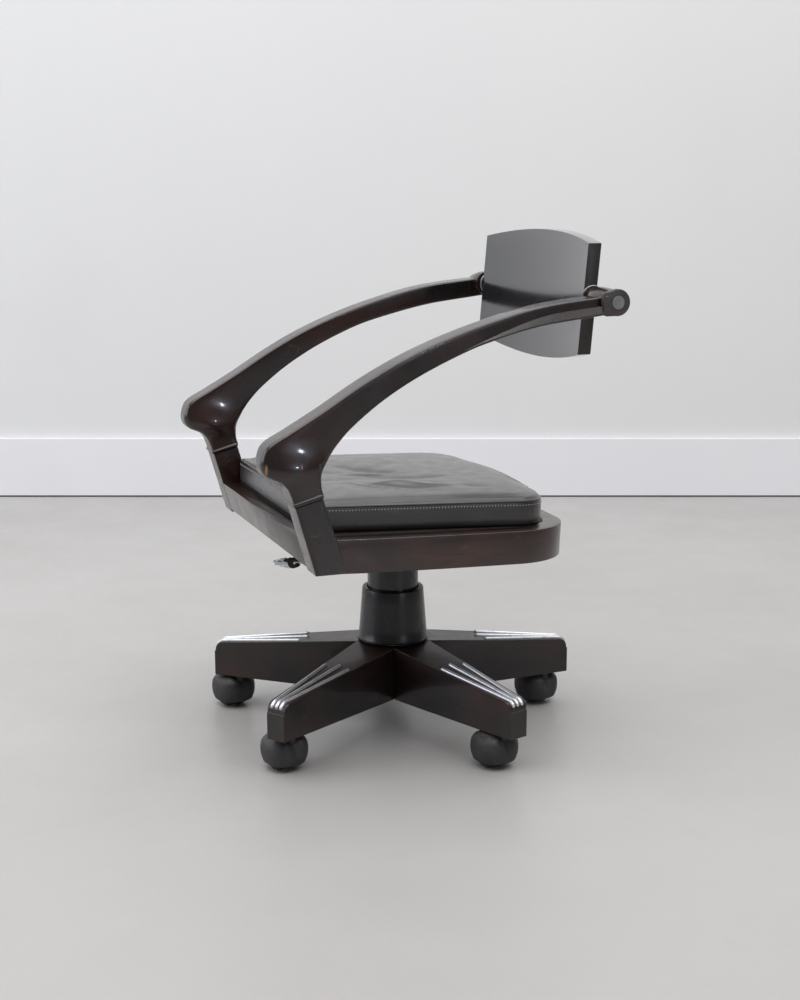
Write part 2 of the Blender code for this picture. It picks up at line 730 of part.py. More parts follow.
def build_front_rail(wood):
    """Leaning rail between the arm posts."""
    half = ARM_INNER - GAP
    corners = [(RAIL_BOTTOM, 0), (FRAME_TOP, 0), (FRAME_TOP, RAIL_WOOD), (RAIL_BOTTOM, RAIL_WOOD)]
    rings = []
    for x in (-half, half):
        ring = []
        for height, back in corners:
            ring.append((x, front_plane(height) + back, height))
        rings.append(ring)
    item = mesh_object("front_rail", *loft(rings), wood)
    add_bevel(item, 0.0010, 2)
    return item


def build_board(wood):
    """Plywood board that fills the frame under the cushion."""
    low = FRAME_TOP - BOARD_THICKNESS
    notch = ARM_INNER - GAP
    front = front_plane(low) + RAIL_WOOD + GAP + SEAT_TILT_SLOPE * BOARD_THICKNESS
    half = hoop_outline(FRAME_WOOD + GAP, post_back(low) + GAP)
    half = [(notch, front), (notch, half[0][1])] + half
    outline = half + [(-x, y) for x, y in half[::-1] if x > 0]
    rings = []
    for height in (low, FRAME_TOP):
        rings.append(placed([(x, y, height) for x, y in outline], seat_matrix()))
    return mesh_object("seat_board", *loft(rings), wood)


def lever_axes():
    """Unit vectors of the lever at its hinge: along it, across it (the hinge axis), and up."""
    along = (LEVER_KNEE - LEVER_PIVOT).normalized()
    across = Vector((0, 0, 1)).cross(along).normalized()
    return along, across, along.cross(across)


def handle_matrix():
    """Frame at the lever's elbow with z along the handle and x level."""
    along = (LEVER_TIP - LEVER_ELBOW).normalized()
    across = Vector((0, 0, 1)).cross(along).normalized()
    turn = Matrix((across, along.cross(across), along)).transposed()
    return Matrix.Translation(LEVER_ELBOW) @ turn.to_4x4()


def bent_rod(corners, radius, segments):
    """Round rod through the corner points, with each bend rounded by short arcs."""
    path = [corners[0]]
    for before, at, after in zip(corners, corners[1:], corners[2:]):
        start = at + (before - at).normalized() * 0.012
        end = at + (after - at).normalized() * 0.012
        for step in range(4):
            t = step / 3
            path.append(start * (1 - t) ** 2 + at * 2 * t * (1 - t) + end * t**2)
    path.append(corners[-1])
    rings = []
    for i, spot in enumerate(path):
        along = (path[min(i + 1, len(path) - 1)] - path[max(i - 1, 0)]).normalized()
        across = Vector((0, 0, 1)).cross(along).normalized()
        up = along.cross(across)
        ring = []
        for step in range(segments):
            angle = 2 * math.pi * step / segments
            ring.append(spot + (across * math.cos(angle) + up * math.sin(angle)) * radius)
        rings.append(ring)
    return loft(rings)


def build_plate(steel):
    """Steel seat plate with the lift socket and the lever's fork."""
    top = BOARD_THICKNESS + GAP
    low = top + PLATE_THICKNESS
    rings = []
    for depth in (low, top):
        ring = []
        for x, y in ((-1, -1), (1, -1), (1, 1), (-1, 1)):
            spot_y = y * PLATE_HALF_LENGTH
            ring.append((x * PLATE_HALF_WIDTH, spot_y, seat_height(spot_y, depth)))
        rings.append(ring)
    item = mesh_object("seat_plate", *loft(rings), steel)
    boss_top = (seat_height(BOSS_RADIUS, top) + seat_height(-BOSS_RADIUS, low)) / 2
    boss, boss_faces = cylinder(BOSS_RADIUS, BOSS_BOTTOM, boss_top, 32)
    add_boolean(item, cutter_object("plate_boss", boss, boss_faces), "UNION")
    along, across, _ = lever_axes()
    flat = Vector((along.x, along.y, 0)).normalized()
    ear_top = seat_height(LEVER_PIVOT.y, low) + 0.0015
    ear_low = LEVER_PIVOT.z - 0.006
    for side in (-1, 1):
        ring_pair = []
        for shift in (0.0040, 0.0065):
            middle = LEVER_PIVOT + across * (side * shift)
            ring = []
            for y, z in ((-0.008, ear_top), (-0.008, ear_low), (0.008, ear_low), (0.008, ear_top)):
                spot = middle + flat * y
                ring.append((spot.x, spot.y, z))
            ring_pair.append(ring)
        ear, ear_faces = loft(ring_pair)
        add_boolean(item, cutter_object(f"plate_ear_{side + 1}", ear, ear_faces), "UNION")
    pin, pin_faces = cylinder(LEVER_PIN_RADIUS, -0.0060, 0.0060, 14)
    turn = across.to_track_quat("Z", "Y").to_matrix().to_4x4()
    pin = placed(pin, Matrix.Translation(LEVER_PIVOT) @ turn)
    add_boolean(item, cutter_object("plate_pin", pin, pin_faces), "UNION")
    bore, bore_faces = cylinder(LIFT_RADIUS + GAP, BOSS_BOTTOM - 0.01, LIFT_TOP + 0.001, 32)
    add_boolean(item, cutter_object("plate_bore", bore, bore_faces), "DIFFERENCE")
    return item


def build_lever(steel):
    """Height lever: an eye on the fork's pin, a thin bent rod and a flat end."""
    length = (LEVER_TIP - LEVER_ELBOW).length
    along, across, _ = lever_axes()
    corners = [LEVER_PIVOT + along * 0.0055, LEVER_KNEE, LEVER_ELBOW]
    corners.append(handle_matrix() @ Vector((0, 0, length - LEVER_PADDLE + 0.003)))
    rod, rod_faces = bent_rod(corners, LEVER_RADIUS, 12)
    item = mesh_object("lever_rod", rod, rod_faces, steel, origin=LEVER_PIVOT)
    turn = Matrix.Translation(LEVER_PIVOT) @ across.to_track_quat("Z", "Y").to_matrix().to_4x4()
    bore = LEVER_PIN_RADIUS + GAP
    profile = [(bore, -0.0036), (LEVER_EYE_RADIUS, -0.0036), (LEVER_EYE_RADIUS, 0.0036), (bore, 0.0036)]
    eye, eye_faces = turned(profile, 20)
    add_boolean(item, cutter_object("lever_eye", placed(eye, turn), eye_faces), "UNION")
    rings = []
    halves = [(LEVER_PADDLE, 0.0036), (LEVER_PADDLE / 2, 0.0060), (0.0, 0.0052)]
    for back, half in halves:
        corners = ((-half, -0.0018), (half, -0.0018), (half, 0.0018), (-half, 0.0018))
        rings.append([Vector((x, y, length - back)) for x, y in corners])
    end, end_faces = loft(rings)
    add_boolean(item, cutter_object("lever_end", placed(end, handle_matrix()), end_faces), "UNION")
    return item


def build_grip(rubber):
    """Ribbed grip round the lever's handle."""
    end = (LEVER_TIP - LEVER_ELBOW).length - LEVER_PADDLE - GAP
    start = end - GRIP_LENGTH
    bore = LEVER_RADIUS + GAP
    profile = [(bore, start), (GRIP_RADIUS - 0.001, start)]
    steps = GRIP_RIBS * 3
    for step in range(steps + 1):
        t = step / steps
        wave = math.cos(2 * math.pi * GRIP_RIBS * t)
        profile.append((GRIP_RADIUS + GRIP_RIB * wave / 2, start + 0.001 + (GRIP_LENGTH - 0.002) * t))
    profile += [(GRIP_RADIUS - 0.001, end), (bore, end)]
    points, faces = turned(profile, 12)
    points = placed(points, handle_matrix())
    return mesh_object("lever_grip", points, faces, rubber, origin=LEVER_PIVOT, smooth=50)


def cushion_half(inset):
    """Half outline of the cushion at its seam, from the middle of the front to the middle of the back."""
    radius = CUSHION_FRONT_RADIUS
    points = [(0.0, CUSHION_FRONT_Y), (CUSHION_FRONT_HALF * 0.5, CUSHION_FRONT_Y)]
    for step in range(4):
        angle = math.pi / 2 * step / 3
        x = CUSHION_FRONT_HALF - radius + radius * math.sin(angle)
        points.append((x, CUSHION_FRONT_Y + radius - radius * math.cos(angle)))
    start = CUSHION_FRONT_Y + radius
    big = CUSHION_BACK_RADIUS
    end_y = CUSHION_BACK_Y - big
    end_x = CUSHION_FRONT_HALF + CUSHION_SPLAY * (end_y - start)
    for step in range(1, 7):
        t = step / 6
        points.append((CUSHION_FRONT_HALF + (end_x - CUSHION_FRONT_HALF) * t, start + (end_y - start) * t))
    for step in range(1, 8):
        angle = math.pi / 2 * step / 7
        swell = 0.0035 * math.sin(2 * angle)
        points.append((end_x - big + big * math.cos(angle) + swell, end_y + big * math.sin(angle) + swell))
    points.append(((end_x - big) * 0.5, CUSHION_BACK_Y + 0.0015))
    points.append((0.0, CUSHION_BACK_Y + 0.002))
    points = [drawn_in(x, y) for x, y in points]
    found = []
    for i, (x, y) in enumerate(points):
        before = points[max(0, i - 1)]
        after = points[min(len(points) - 1, i + 1)]
        along = Vector((after[0] - before[0], after[1] - before[1])).normalized()
        if i in (0, len(points) - 1):
            along = Vector((math.copysign(1, -y), 0))
        found.append((x - along.y * inset, y + along.x * inset))
    return found


def drawn_in(x, y):
    """A point of the cushion's outline, with the sides pulled in a little between the corners."""
    middle = (CUSHION_FRONT_Y + CUSHION_BACK_Y) / 2
    half = (CUSHION_BACK_Y - CUSHION_FRONT_Y) / 2
    along = max(0.0, 1 - ((y - middle) / half) ** 2)
    return x * (1 - CUSHION_DRAW_IN / CUSHION_FRONT_HALF * along), y


def cushion_ring(inset, height):
    """Closed outline of the cushion at one height."""
    half = cushion_half(inset)
    outline = half + [(-x, y) for x, y in half[-2:0:-1]]
    return [(x, y, height) for x, y in outline]


def crown_ring(share, height):
    """Outline of the cushion's top drawn toward its middle, where it turns into an ellipse."""
    half_width = CUSHION_FRONT_HALF
    half_length = (CUSHION_BACK_Y - CUSHION_FRONT_Y) / 2
    blend = (1 - share) ** 0.75
    ring = []
    for x, y, _ in cushion_ring(0.0, 0.0):
        angle = math.atan2((y - CROWN_CENTRE_Y) / half_length, x / half_width)
        round_x = half_width * math.cos(angle)
        round_y = half_length * math.sin(angle)
        across = (x + (round_x - x) * blend) * share
        along = (y - CROWN_CENTRE_Y + (round_y - y + CROWN_CENTRE_Y) * blend) * share
        ring.append((across, CROWN_CENTRE_Y + along, height))
    return ring


def build_cushion(leather):
    """Box cushion with drawn-in sides, a seam bead and a crowned top."""
    height = CUSHION_SEAM - CUSHION_BOTTOM
    rings = [cushion_ring(0.0100, CUSHION_BOTTOM), cushion_ring(0.0045, CUSHION_BOTTOM + 0.003)]
    for share in (0.25, 0.50, 0.75):
        bulge = CUSHION_BULGE * math.sin(math.pi * share)
        rings.append(cushion_ring(0.0035 - bulge, CUSHION_BOTTOM + height * share))
    rings.append(cushion_ring(0.0020, CUSHION_SEAM - 0.0018))
    rings.append(cushion_ring(0.0, CUSHION_SEAM))
    rings.append(cushion_ring(0.0014, CUSHION_SEAM + 0.0018))
    for share in (0.97, 0.92, 0.84, 0.72, 0.56, 0.36, 0.16):
        rise = (1 - share**2.6) ** 0.62
        rings.append(crown_ring(share, CUSHION_SEAM + 0.0022 + CUSHION_CROWN * rise))
    rings = [placed(ring, seat_matrix()) for ring in rings]
    return mesh_object("seat_cushion", *loft(rings), leather, smooth=60)


# Arms


def arm_curves(count):
    """Matching points on the front/top edge and the back/underside edge of an arm, as (y, z).

    They are given as shares of the way from the knuckle's front to the pivot, and from the seat
    frame's top up to the pivot.
    """
    top = [(0.0931, 0.1736), (0.0959, 0.1974), (0.0809, 0.2331), (0.0487, 0.2628)]
    top += [(0.0102, 0.2866), (0.0000, 0.3297), (0.0030, 0.3802), (0.0218, 0.4313)]
    top += [(0.0791, 0.4842), (0.1686, 0.5690), (0.2706, 0.6730), (0.3673, 0.7592)]
    top += [(0.4604, 0.8276), (0.5552, 0.8856), (0.6393, 0.9287), (0.7306, 0.9697)]
    top += [(0.8130, 0.9964), (0.8953, 1.0134), (0.9937, 1.0282)]
    low = [(0.1668, 0.2004), (0.1629, 0.2197), (0.1609, 0.2390), (0.1614, 0.2628)]
    low += [(0.1632, 0.2866), (0.1686, 0.3133), (0.1758, 0.3401), (0.1874, 0.3787)]
    low += [(0.2085, 0.4278), (0.2456, 0.4917), (0.3154, 0.5832), (0.3959, 0.6671)]
    low += [(0.4783, 0.7360), (0.5677, 0.7979), (0.6483, 0.8371), (0.7342, 0.8722)]
    low += [(0.8147, 0.8989), (0.8971, 0.9168), (0.9937, 0.9361)]
    curves = []
    for shares in (top, low):
        run = PIVOT_Y - ARM_FRONT_Y
        rise = PIVOT_Z - FRAME_TOP
        points = [(ARM_FRONT_Y + a * run, FRAME_TOP + b * rise) for a, b in shares]
        curves.append(spline(points, count))
    return curves


def arm_section(top, low, middle, half, corner, bulge=0.0):
    """Rounded rectangle between two edge points, with its two sides swollen by a bulge."""
    reach = (np.array(top) - np.array(low)) / 2
    centre = np.array(low) + reach
    length = float(np.linalg.norm(reach))
    flats = ((0.0, length), (-half - bulge, 0.0), (0.0, -length), (half + bulge, 0.0))
    signs = ((1, 1), (-1, 1), (-1, -1), (1, -1))
    spots = []
    for quarter, (side_x, side_a) in enumerate(signs):
        for step in range(3):
            angle = math.pi / 2 * quarter + math.pi / 4 * step
            x = side_x * (half - corner) + corner * math.cos(angle)
            spots.append((x, side_a * (length - corner) + corner * math.sin(angle)))
        spots.append(flats[quarter])
    ring = []
    for x, a in spots:
        y, z = centre + reach * (a / length)
        ring.append((middle + x, y, z))
    return ring


def arm_rings():
    """All sections of the sitter's left arm, from the foot of the post to the boss."""
    middle = (ARM_INNER + ARM_OUTER) / 2
    half = (ARM_OUTER - ARM_INNER) / 2
    rings = []
    tilt = POST_TOP_SLOPE
    for height, rise in ((FRAME_BOTTOM, 0.0), (FRAME_TOP, 0.0), (POST_TOP, tilt)):
        front = (front_plane(height), height)
        back = (front_plane(height + rise) + POST_DEPTH * 0.96, height + rise)
        rings.append(arm_section(front, back, middle, half, 0.0012))
    for step, swell in ((0.6, RING_SWELL / 2), (1.6, RING_SWELL), (2.6, RING_SWELL / 2)):
        height = POST_TOP + step * RING_PITCH
        front = (front_plane(height) - swell, height)
        back = (front_plane(height + tilt) + POST_DEPTH * 0.94 + swell, height + tilt)
        rings.append(arm_section(front, back, middle, half + swell, 0.0016))
    top, low = arm_curves(27)
    for i, (a, b) in enumerate(zip(top, low)):
        share = i / 26
        knuckle = math.exp(-(((share - 0.27) / 0.13) ** 2))
        corner = 0.0030 + 0.0040 * knuckle
        rings.append(arm_section(a, b, middle, half - 0.0006, corner, 0.0045 * knuckle))
    return rings


def build_arm(side, wood):
    """One arm with its post, knuckle and rear boss."""
    sign = 1 if side == "left" else -1
    points, faces = loft(arm_rings())
    points = [(sign * x, y, z) for x, y, z in points]
    item = mesh_object(f"arm_{side}", points, faces, wood, smooth=40)
    profile = [(0, 0), (ARM_BOSS_RADIUS - 0.001, 0), (ARM_BOSS_RADIUS, 0.001)]
    length = ARM_BOSS_OUTER - ARM_BOSS_INNER
    profile += [(ARM_BOSS_RADIUS, length - 0.0015), (ARM_BOSS_RADIUS - 0.0015, length), (0, length)]
    boss, boss_faces = turned(profile, 28)
    boss = [(sign * x, y, z) for x, y, z in placed(boss, along_x((ARM_BOSS_INNER, PIVOT_Y, PIVOT_Z)))]
    add_boolean(item, cutter_object(f"arm_boss_{side}", boss, boss_faces), "UNION")
    bore, bore_faces = cylinder(PIN_HEAD_RADIUS + 2 * GAP, ARM_BOSS_INNER - 0.02, ARM_BOSS_OUTER + 0.02, 20)
    bore = [(sign * x, y, z) for x, y, z in placed(bore, along_x((0, PIVOT_Y, PIVOT_Z)))]
    add_boolean(item, cutter_object(f"arm_bore_{side}", bore, bore_faces), "DIFFERENCE")
    return item


# Backrest


def panel_front(x, height):
    """Y of the panel's front face."""
    share = 1 - (x / PANEL_HALF_WIDTH) ** 2
    centre = PANEL_CENTRE_Y + PANEL_LEAN * (height - PIVOT_Z)
    return centre - PANEL_THICKNESS / 2 + PANEL_HOLLOW * share


def build_panel(lacquer):
    """Hollowed, arched back panel of moulded plywood, bored at both ends for the pins."""
    steps = 20
    rings = []
    for step in range(steps + 1):
        x = PANEL_HALF_WIDTH * (2 * step / steps - 1)
        share = 1 - (x / PANEL_HALF_WIDTH) ** 2
        top = PANEL_END_TOP + PANEL_TOP_ARCH * share
        low = PANEL_END_BOTTOM - PANEL_BOTTOM_ARCH * share
        ring = []
        corners = ((low, 0), (top, 0), (top, PANEL_THICKNESS), (low, PANEL_THICKNESS))
        for height, back in corners:
            ring.append((x, panel_front(x, height) + back, height))
        rings.append(ring)
    origin = (0, PIVOT_Y, PIVOT_Z)
    item = mesh_object("back_panel", *loft(rings), lacquer, origin=origin, smooth=30)
    for side, sign in (("left", 1), ("right", -1)):
        deep = PANEL_HALF_WIDTH - PIN_DEPTH - 0.001
        bore, bore_faces = cylinder(PIN_RADIUS + GAP, deep, PANEL_HALF_WIDTH + 0.02, 16)
        bore = [(sign * x, y, z) for x, y, z in placed(bore, along_x(origin))]
        add_boolean(item, cutter_object(f"panel_bore_{side}", bore, bore_faces), "DIFFERENCE")
    add_bevel(item, 0.0008, 1, 50)
    return item


def build_pin(side, metal):
    """Stepped pivot pin: a wide head in the arm boss and a thin end in the panel."""
    sign = 1 if side == "left" else -1
    head = ARM_BOSS_OUTER + 0.0006
    step = ARM_BOSS_INNER + GAP
    deep = PANEL_HALF_WIDTH - PIN_DEPTH
    profile = [(0, deep), (PIN_RADIUS, deep), (PIN_RADIUS, step), (PIN_HEAD_RADIUS, step)]
    profile += [(PIN_HEAD_RADIUS, head - 0.0005), (PIN_HEAD_RADIUS - 0.0005, head), (0, head)]
    points, faces = turned(profile, 20)
    origin = (0, PIVOT_Y, PIVOT_Z)
    points = [(sign * x, y, z) for x, y, z in placed(points, along_x(origin))]
    return mesh_object(f"pivot_pin_{side}", points, faces, metal, origin=origin)


def build_collar(side, wood):
    """Waisted spacer between the panel's end and the arm boss."""
    sign = 1 if side == "left" else -1
    low = PANEL_HALF_WIDTH + GAP * 2
    high = ARM_BOSS_INNER - GAP * 2
    bore = PIN_RADIUS + GAP
    profile = [(bore, low), (COLLAR_RADIUS - 0.0006, low), (COLLAR_RADIUS, low + 0.0006)]
    profile += [(COLLAR_RADIUS, low + COLLAR_DISC - 0.0008), (COLLAR_RADIUS - 0.0008, low + COLLAR_DISC)]
    profile += [(COLLAR_NECK_RADIUS + 0.0016, low + COLLAR_DISC + 0.0006)]
    profile += [(COLLAR_NECK_RADIUS, low + COLLAR_DISC + 0.0022), (COLLAR_NECK_RADIUS, high), (bore, high)]
    points, faces = turned(profile, 24)
    origin = (0, PIVOT_Y, PIVOT_Z)
    points = [(sign * x, y, z) for x, y, z in placed(points, along_x(origin))]
    return mesh_object(f"panel_collar_{side}", points, faces, wood, origin=origin)


def build_base():
    """Everything that stands still under the seat."""
    wood = new_material("Ebonised leg wood", "2d2624", 0.38, coat=0.3)
    metal = new_material("Brushed aluminium strip", "bfc3c7", 0.32, 1.0)
    steel = new_material("Zinc-plated steel", "8d9093", 0.42, 1.0)
    paint = new_material("Satin black column paint", "262627", 0.45)
    for number in range(LEG_COUNT):
        build_leg(number, wood)
        for place in STRIP_HUB_REACH:
            build_strip(number, place, metal)
    build_hub(steel)
    build_base_tube(new_material("Black steel tube", "2b2c2e", 0.40, 1.0))
    build_piston_rod(new_material("Ground steel rod", "b9bcbf", 0.22, 1.0))
    build_cover(paint)


def build_castors():
    """Five castors with hood, stem and two wheels each."""
    plastic = new_material("Charcoal castor plastic", "3a393b", 0.55)
    rubber = new_material("Dark wheel nylon", "2c2b2d", 0.60)
    steel = new_material("Castor stem steel", "9b9da0", 0.35, 1.0)
    for number in range(LEG_COUNT):
        build_hood(number, plastic)
        build_stem(number, steel)
        for side in ("left", "right"):
            build_wheel(number, side, rubber)


def build_seat():
    """The lift, the seat frame and what it carries."""
    frame_wood = new_material("Ebonised frame wood", "2f2826", 0.34, coat=0.35)
    build_lift_cylinder(new_material("Black lift cylinder", "1f2022", 0.35, 1.0))
    build_sleeve(new_material("Satin black sleeve paint", "29292a", 0.42))
    build_hoop(frame_wood)
    build_front_rail(new_material("Ebonised rail wood", "332c2a", 0.32, coat=0.4))
    build_board(new_material("Birch plywood", "b79a72", 0.65))
    build_plate(new_material("Black pressed steel", "232325", 0.50, 1.0))
    build_lever(new_material("Bright lever steel", "c3c5c8", 0.28, 1.0))
    build_grip(new_material("Black grip rubber", "18181a", 0.70))
    build_cushion(new_material("Dark brown-grey leather", "474340", 0.46))


def build_upper():
    """Arms, backrest and its pivots."""
    arm_wood = new_material("Ebonised arm wood", "30282a", 0.30, coat=0.4)
    pin_metal = new_material("Satin grey pin metal", "8a8c8e", 0.45, 1.0)
    collar_wood = new_material("Ebonised collar wood", "2b2625", 0.32, coat=0.3)
    for side in ("left", "right"):
        build_arm(side, arm_wood)
        build_pin(side, pin_metal)
        build_collar(side, collar_wood)
    build_panel(new_material("Black lacquered plywood", "2a2a2c", 0.16, coat=0.8))


def move_to_origin():
    """Shifts every solid so that the origin lies below the middle of the chair's outline."""
    for item in bpy.context.scene.collection.objects:
        item.location.y += SWIVEL_Y


def main():
    """Builds the whole chair at rest."""
    clear_scene()
    build_base()
    build_castors()
    build_seat()
    build_upper()
    move_to_origin()


main()
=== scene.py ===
"""Looks of a swivel desk armchair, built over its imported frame.

The frame gives the solids and the bodies that they move with. This script gives them their finishes,
and puts finer pieces in place of those that need more than a plain solid: the leather cushion, the
sculpted arms, the bent seat frame, the back, the metal strips, the column and the castors.
Shapes are drawn in metres about the swivel axis, with the chair facing -Y and the sitter's left at
+X, and moved by AXIS_Y when their mesh is made.
"""

from __future__ import annotations

import json
import logging
import math
from dataclasses import dataclass
from enum import Enum
from functools import cache
from typing import Sequence

import bmesh
import bpy
import numpy as np
from bpy.types import Material, Mesh, Node, NodeSocket, NodeTree, Object
from mathutils import Matrix, Vector
from mathutils.bvhtree import BVHTree

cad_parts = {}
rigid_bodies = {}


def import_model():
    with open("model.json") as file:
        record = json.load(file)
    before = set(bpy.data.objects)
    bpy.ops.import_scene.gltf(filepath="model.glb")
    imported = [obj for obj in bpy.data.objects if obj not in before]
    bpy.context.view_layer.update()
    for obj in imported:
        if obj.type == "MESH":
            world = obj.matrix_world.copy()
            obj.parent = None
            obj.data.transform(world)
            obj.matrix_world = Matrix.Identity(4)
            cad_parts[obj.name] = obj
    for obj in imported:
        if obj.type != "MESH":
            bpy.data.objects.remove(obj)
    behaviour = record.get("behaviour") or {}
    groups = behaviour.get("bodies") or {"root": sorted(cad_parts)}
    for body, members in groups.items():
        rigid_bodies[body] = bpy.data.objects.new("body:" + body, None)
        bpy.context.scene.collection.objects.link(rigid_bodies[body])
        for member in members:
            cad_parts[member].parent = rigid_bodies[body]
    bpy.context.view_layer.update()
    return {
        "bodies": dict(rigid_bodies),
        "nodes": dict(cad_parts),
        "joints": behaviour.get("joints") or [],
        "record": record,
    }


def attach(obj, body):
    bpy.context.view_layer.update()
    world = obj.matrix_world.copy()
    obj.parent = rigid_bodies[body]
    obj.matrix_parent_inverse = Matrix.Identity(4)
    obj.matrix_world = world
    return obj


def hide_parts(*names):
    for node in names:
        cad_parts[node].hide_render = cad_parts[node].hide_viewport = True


# Where the swivel axis stands in the frame.
AXIS_Y = -0.0120
LOG = logging.getLogger("armchair")
Value = float | NodeSocket
Colour = str | NodeSocket


class Body(Enum):
    """The bodies of the frame that a piece can ride on."""

    BASE = "base"
    LIFT = "lift"
    SEAT = "seat"
    BACK = "back"
    LEVER = "lever"


class Side(Enum):
    """The sitter's left or right, as the sign of X."""

    LEFT = 1
    RIGHT = -1

    @property
    def word(self) -> str:
        """The side as it stands in a node's name."""
        return self.name.lower()


class GrainSource(Enum):
    """Where a wood finish takes its grain direction from."""

    OBJECT = "object"
    BENT = "bent"


# Small geometry tools


def spline(points: Sequence[Sequence[float]], count: int) -> np.ndarray:
    """Points on a smooth curve through the given ones.

    Args:
        points: The points that the curve passes through.
        count: How many points to return.

    Returns:
        The curve's points, one row each.
    """
    given = np.array(points, float)
    ends = np.vstack([2 * given[0] - given[1], given, 2 * given[-1] - given[-2]])
    spans = len(given) - 1
    found = []
    for t in np.linspace(0, spans, count):
        i = min(int(t), spans - 1)
        f = t - i
        a, b, c, d = ends[i : i + 4]
        curve = 2 * b + (c - a) * f + (2 * a - 5 * b + 4 * c - d) * f**2 + (3 * b - a - 3 * c + d) * f**3
        found.append(curve / 2)
    return np.array(found)


def evenly(points: np.ndarray, count: int) -> np.ndarray:
    """Points spaced evenly by length along a line.

    Args:
        points: The line's points, one row each.
        count: How many points to return.

    Returns:
        The new points, from the first to the last.
    """
    steps = np.linalg.norm(np.diff(points, axis=0), axis=1)
    length = np.concatenate([[0], np.cumsum(steps)])
    spots = np.linspace(0, length[-1], count)
    return np.stack([np.interp(spots, length, points[:, k]) for k in range(points.shape[1])], axis=1)


def smooth_step(value: np.ndarray | float, low: float, high: float) -> np.ndarray:
    """Rises smoothly from 0 at low to 1 at high.

    Args:
        value: The number or numbers to place between the limits.
        low: Where the rise starts.
        high: Where it ends.

    Returns:
        The share for each number.
    """
    share = np.clip((np.asarray(value, float) - low) / (high - low), 0, 1)
    return share * share * (3 - 2 * share)


def turn_z(angle: float) -> Matrix:
    """The matrix that turns by an angle about Z."""
    return Matrix.Rotation(angle, 4, "Z")


def along_x(start: Sequence[float]) -> Matrix:
    """The matrix that turns +Z into +X and moves the origin to a start."""
    return Matrix.Translation(start) @ Matrix.Rotation(math.pi / 2, 4, "Y")


@dataclass
class Shape:
    """Points and faces of one or more closed shells, with the wood grain's own coordinates."""

    points: np.ndarray
    faces: list[tuple[int, ...]]
    grain: np.ndarray | None = None

    @staticmethod
    def loft(rings: Sequence[np.ndarray], grains: Sequence[np.ndarray] | None = None) -> "Shape":
        """A solid through closed rings of equal length, with flat ends.

        Args:
            rings: The rings in order, each with one row per point.
            grains: The grain coordinates of the same points, or None.

        Returns:
            The closed shape.
        """
        count, last = len(rings[0]), (len(rings) - 1) * len(rings[0])
        faces: list[tuple[int, ...]] = [tuple(range(count))]
        for i in range(len(rings) - 1):
            for j in range(count):
                k = (j + 1) % count
                faces.append((i * count + j, i * count + k, (i + 1) * count + k, (i + 1) * count + j))
        faces.append(tuple(range(last + count - 1, last - 1, -1)))
        grain = None if grains is None else np.vstack(grains)
        return Shape(np.vstack(rings), faces, grain)

    @staticmethod
    def tube(rings: Sequence[np.ndarray]) -> "Shape":
        """A solid with a hole, through closed rings whose last one joins the first."""
        shape = Shape.loft([*rings, rings[0]])
        return Shape(shape.points, shape.faces[1:-1])

    @staticmethod
    def lathe(profile: Sequence[tuple[float, float]], segments: int) -> "Shape":
        """A closed profile turned round Z.

        Args:
            profile: (radius, height) corners; radius 0 is on the axis.
            segments: Points on each circle.

        Returns:
            The turned shape.
        """
        points: list[tuple[float, float, float]] = []
        index: list[list[int]] = []
        for radius, height in profile:
            if radius == 0:
                index.append([len(points)] * segments)
                points.append((0.0, 0.0, height))
                continue
            index.append(list(range(len(points), len(points) + segments)))
            for step in range(segments):
                angle = 2 * math.pi * step / segments
                points.append((radius * math.cos(angle), radius * math.sin(angle), height))
        faces = []
        for i, (radius, _) in enumerate(profile):
            a, b = index[i], index[(i + 1) % len(profile)]
            if radius == 0 and profile[(i + 1) % len(profile)][0] == 0:
                continue
            for j in range(segments):
                k = (j + 1) % segments
                faces.append(tuple(dict.fromkeys((a[j], a[k], b[k], b[j]))))
        return Shape(np.array(points), faces)

    def placed(self, matrix: Matrix) -> "Shape":
        """The shape moved by a matrix."""
        turned = np.array(matrix)
        return Shape(self.points @ turned[:3, :3].T + turned[:3, 3], self.faces, self.grain)

    def on(self, side: Side) -> "Shape":
        """The shape, mirrored to the other side where that is asked for."""
        return Shape(self.points * (side.value, 1, 1), self.faces, self.grain)

    def __add__(self, other: "Shape") -> "Shape":
        """Both shapes as one.

        Args:
            other: The shape to add.

        Returns:
            One shape with the shells of both.
        """
        start = len(self.points)
        faces = self.faces + [tuple(start + i for i in face) for face in other.faces]
        grain = None
        if self.grain is not None:
            more = other.grain if other.grain is not None else other.points
            grain = np.vstack([self.grain, more])
        return Shape(np.vstack([self.points, other.points]), faces, grain)


def rounded_box(
    low: float, high: float, near: float, far: float, radius: float, steps: int = 3
) -> np.ndarray:
    """A rounded rectangle.

    Args:
        low: Lower end on the first axis.
        high: Upper end on the first axis.
        near: Lower end on the second axis.
        far: Upper end on the second axis.
        radius: Corner radius.
        steps: Arc steps per corner.

    Returns:
        The outline's points, two numbers each.
    """
    corners = ((high, far, 0), (low, far, 1), (low, near, 2), (high, near, 3))
    found = []
    for a, b, quarter in corners:
        centre_a = a - math.copysign(radius, a - (low + high) / 2)
        centre_b = b - math.copysign(radius, b - (near + far) / 2)
        for step in range(steps + 1):
            angle = math.pi / 2 * (quarter + step / steps)
            found.append((centre_a + radius * math.cos(angle), centre_b + radius * math.sin(angle)))
    return np.array(found)


# Materials


def linear(colour: str) -> tuple[float, float, float, float]:
    """An sRGB hex colour as linear light.

    Args:
        colour: Six hex digits.

    Returns:
        Red, green, blue and an alpha of 1.
    """
    channels = [int(colour[i : i + 2], 16) / 255 for i in (0, 2, 4)]
    light = [c / 12.92 if c <= 0.04045 else ((c + 0.055) / 1.055) ** 2.4 for c in channels]
    return (*light, 1.0)


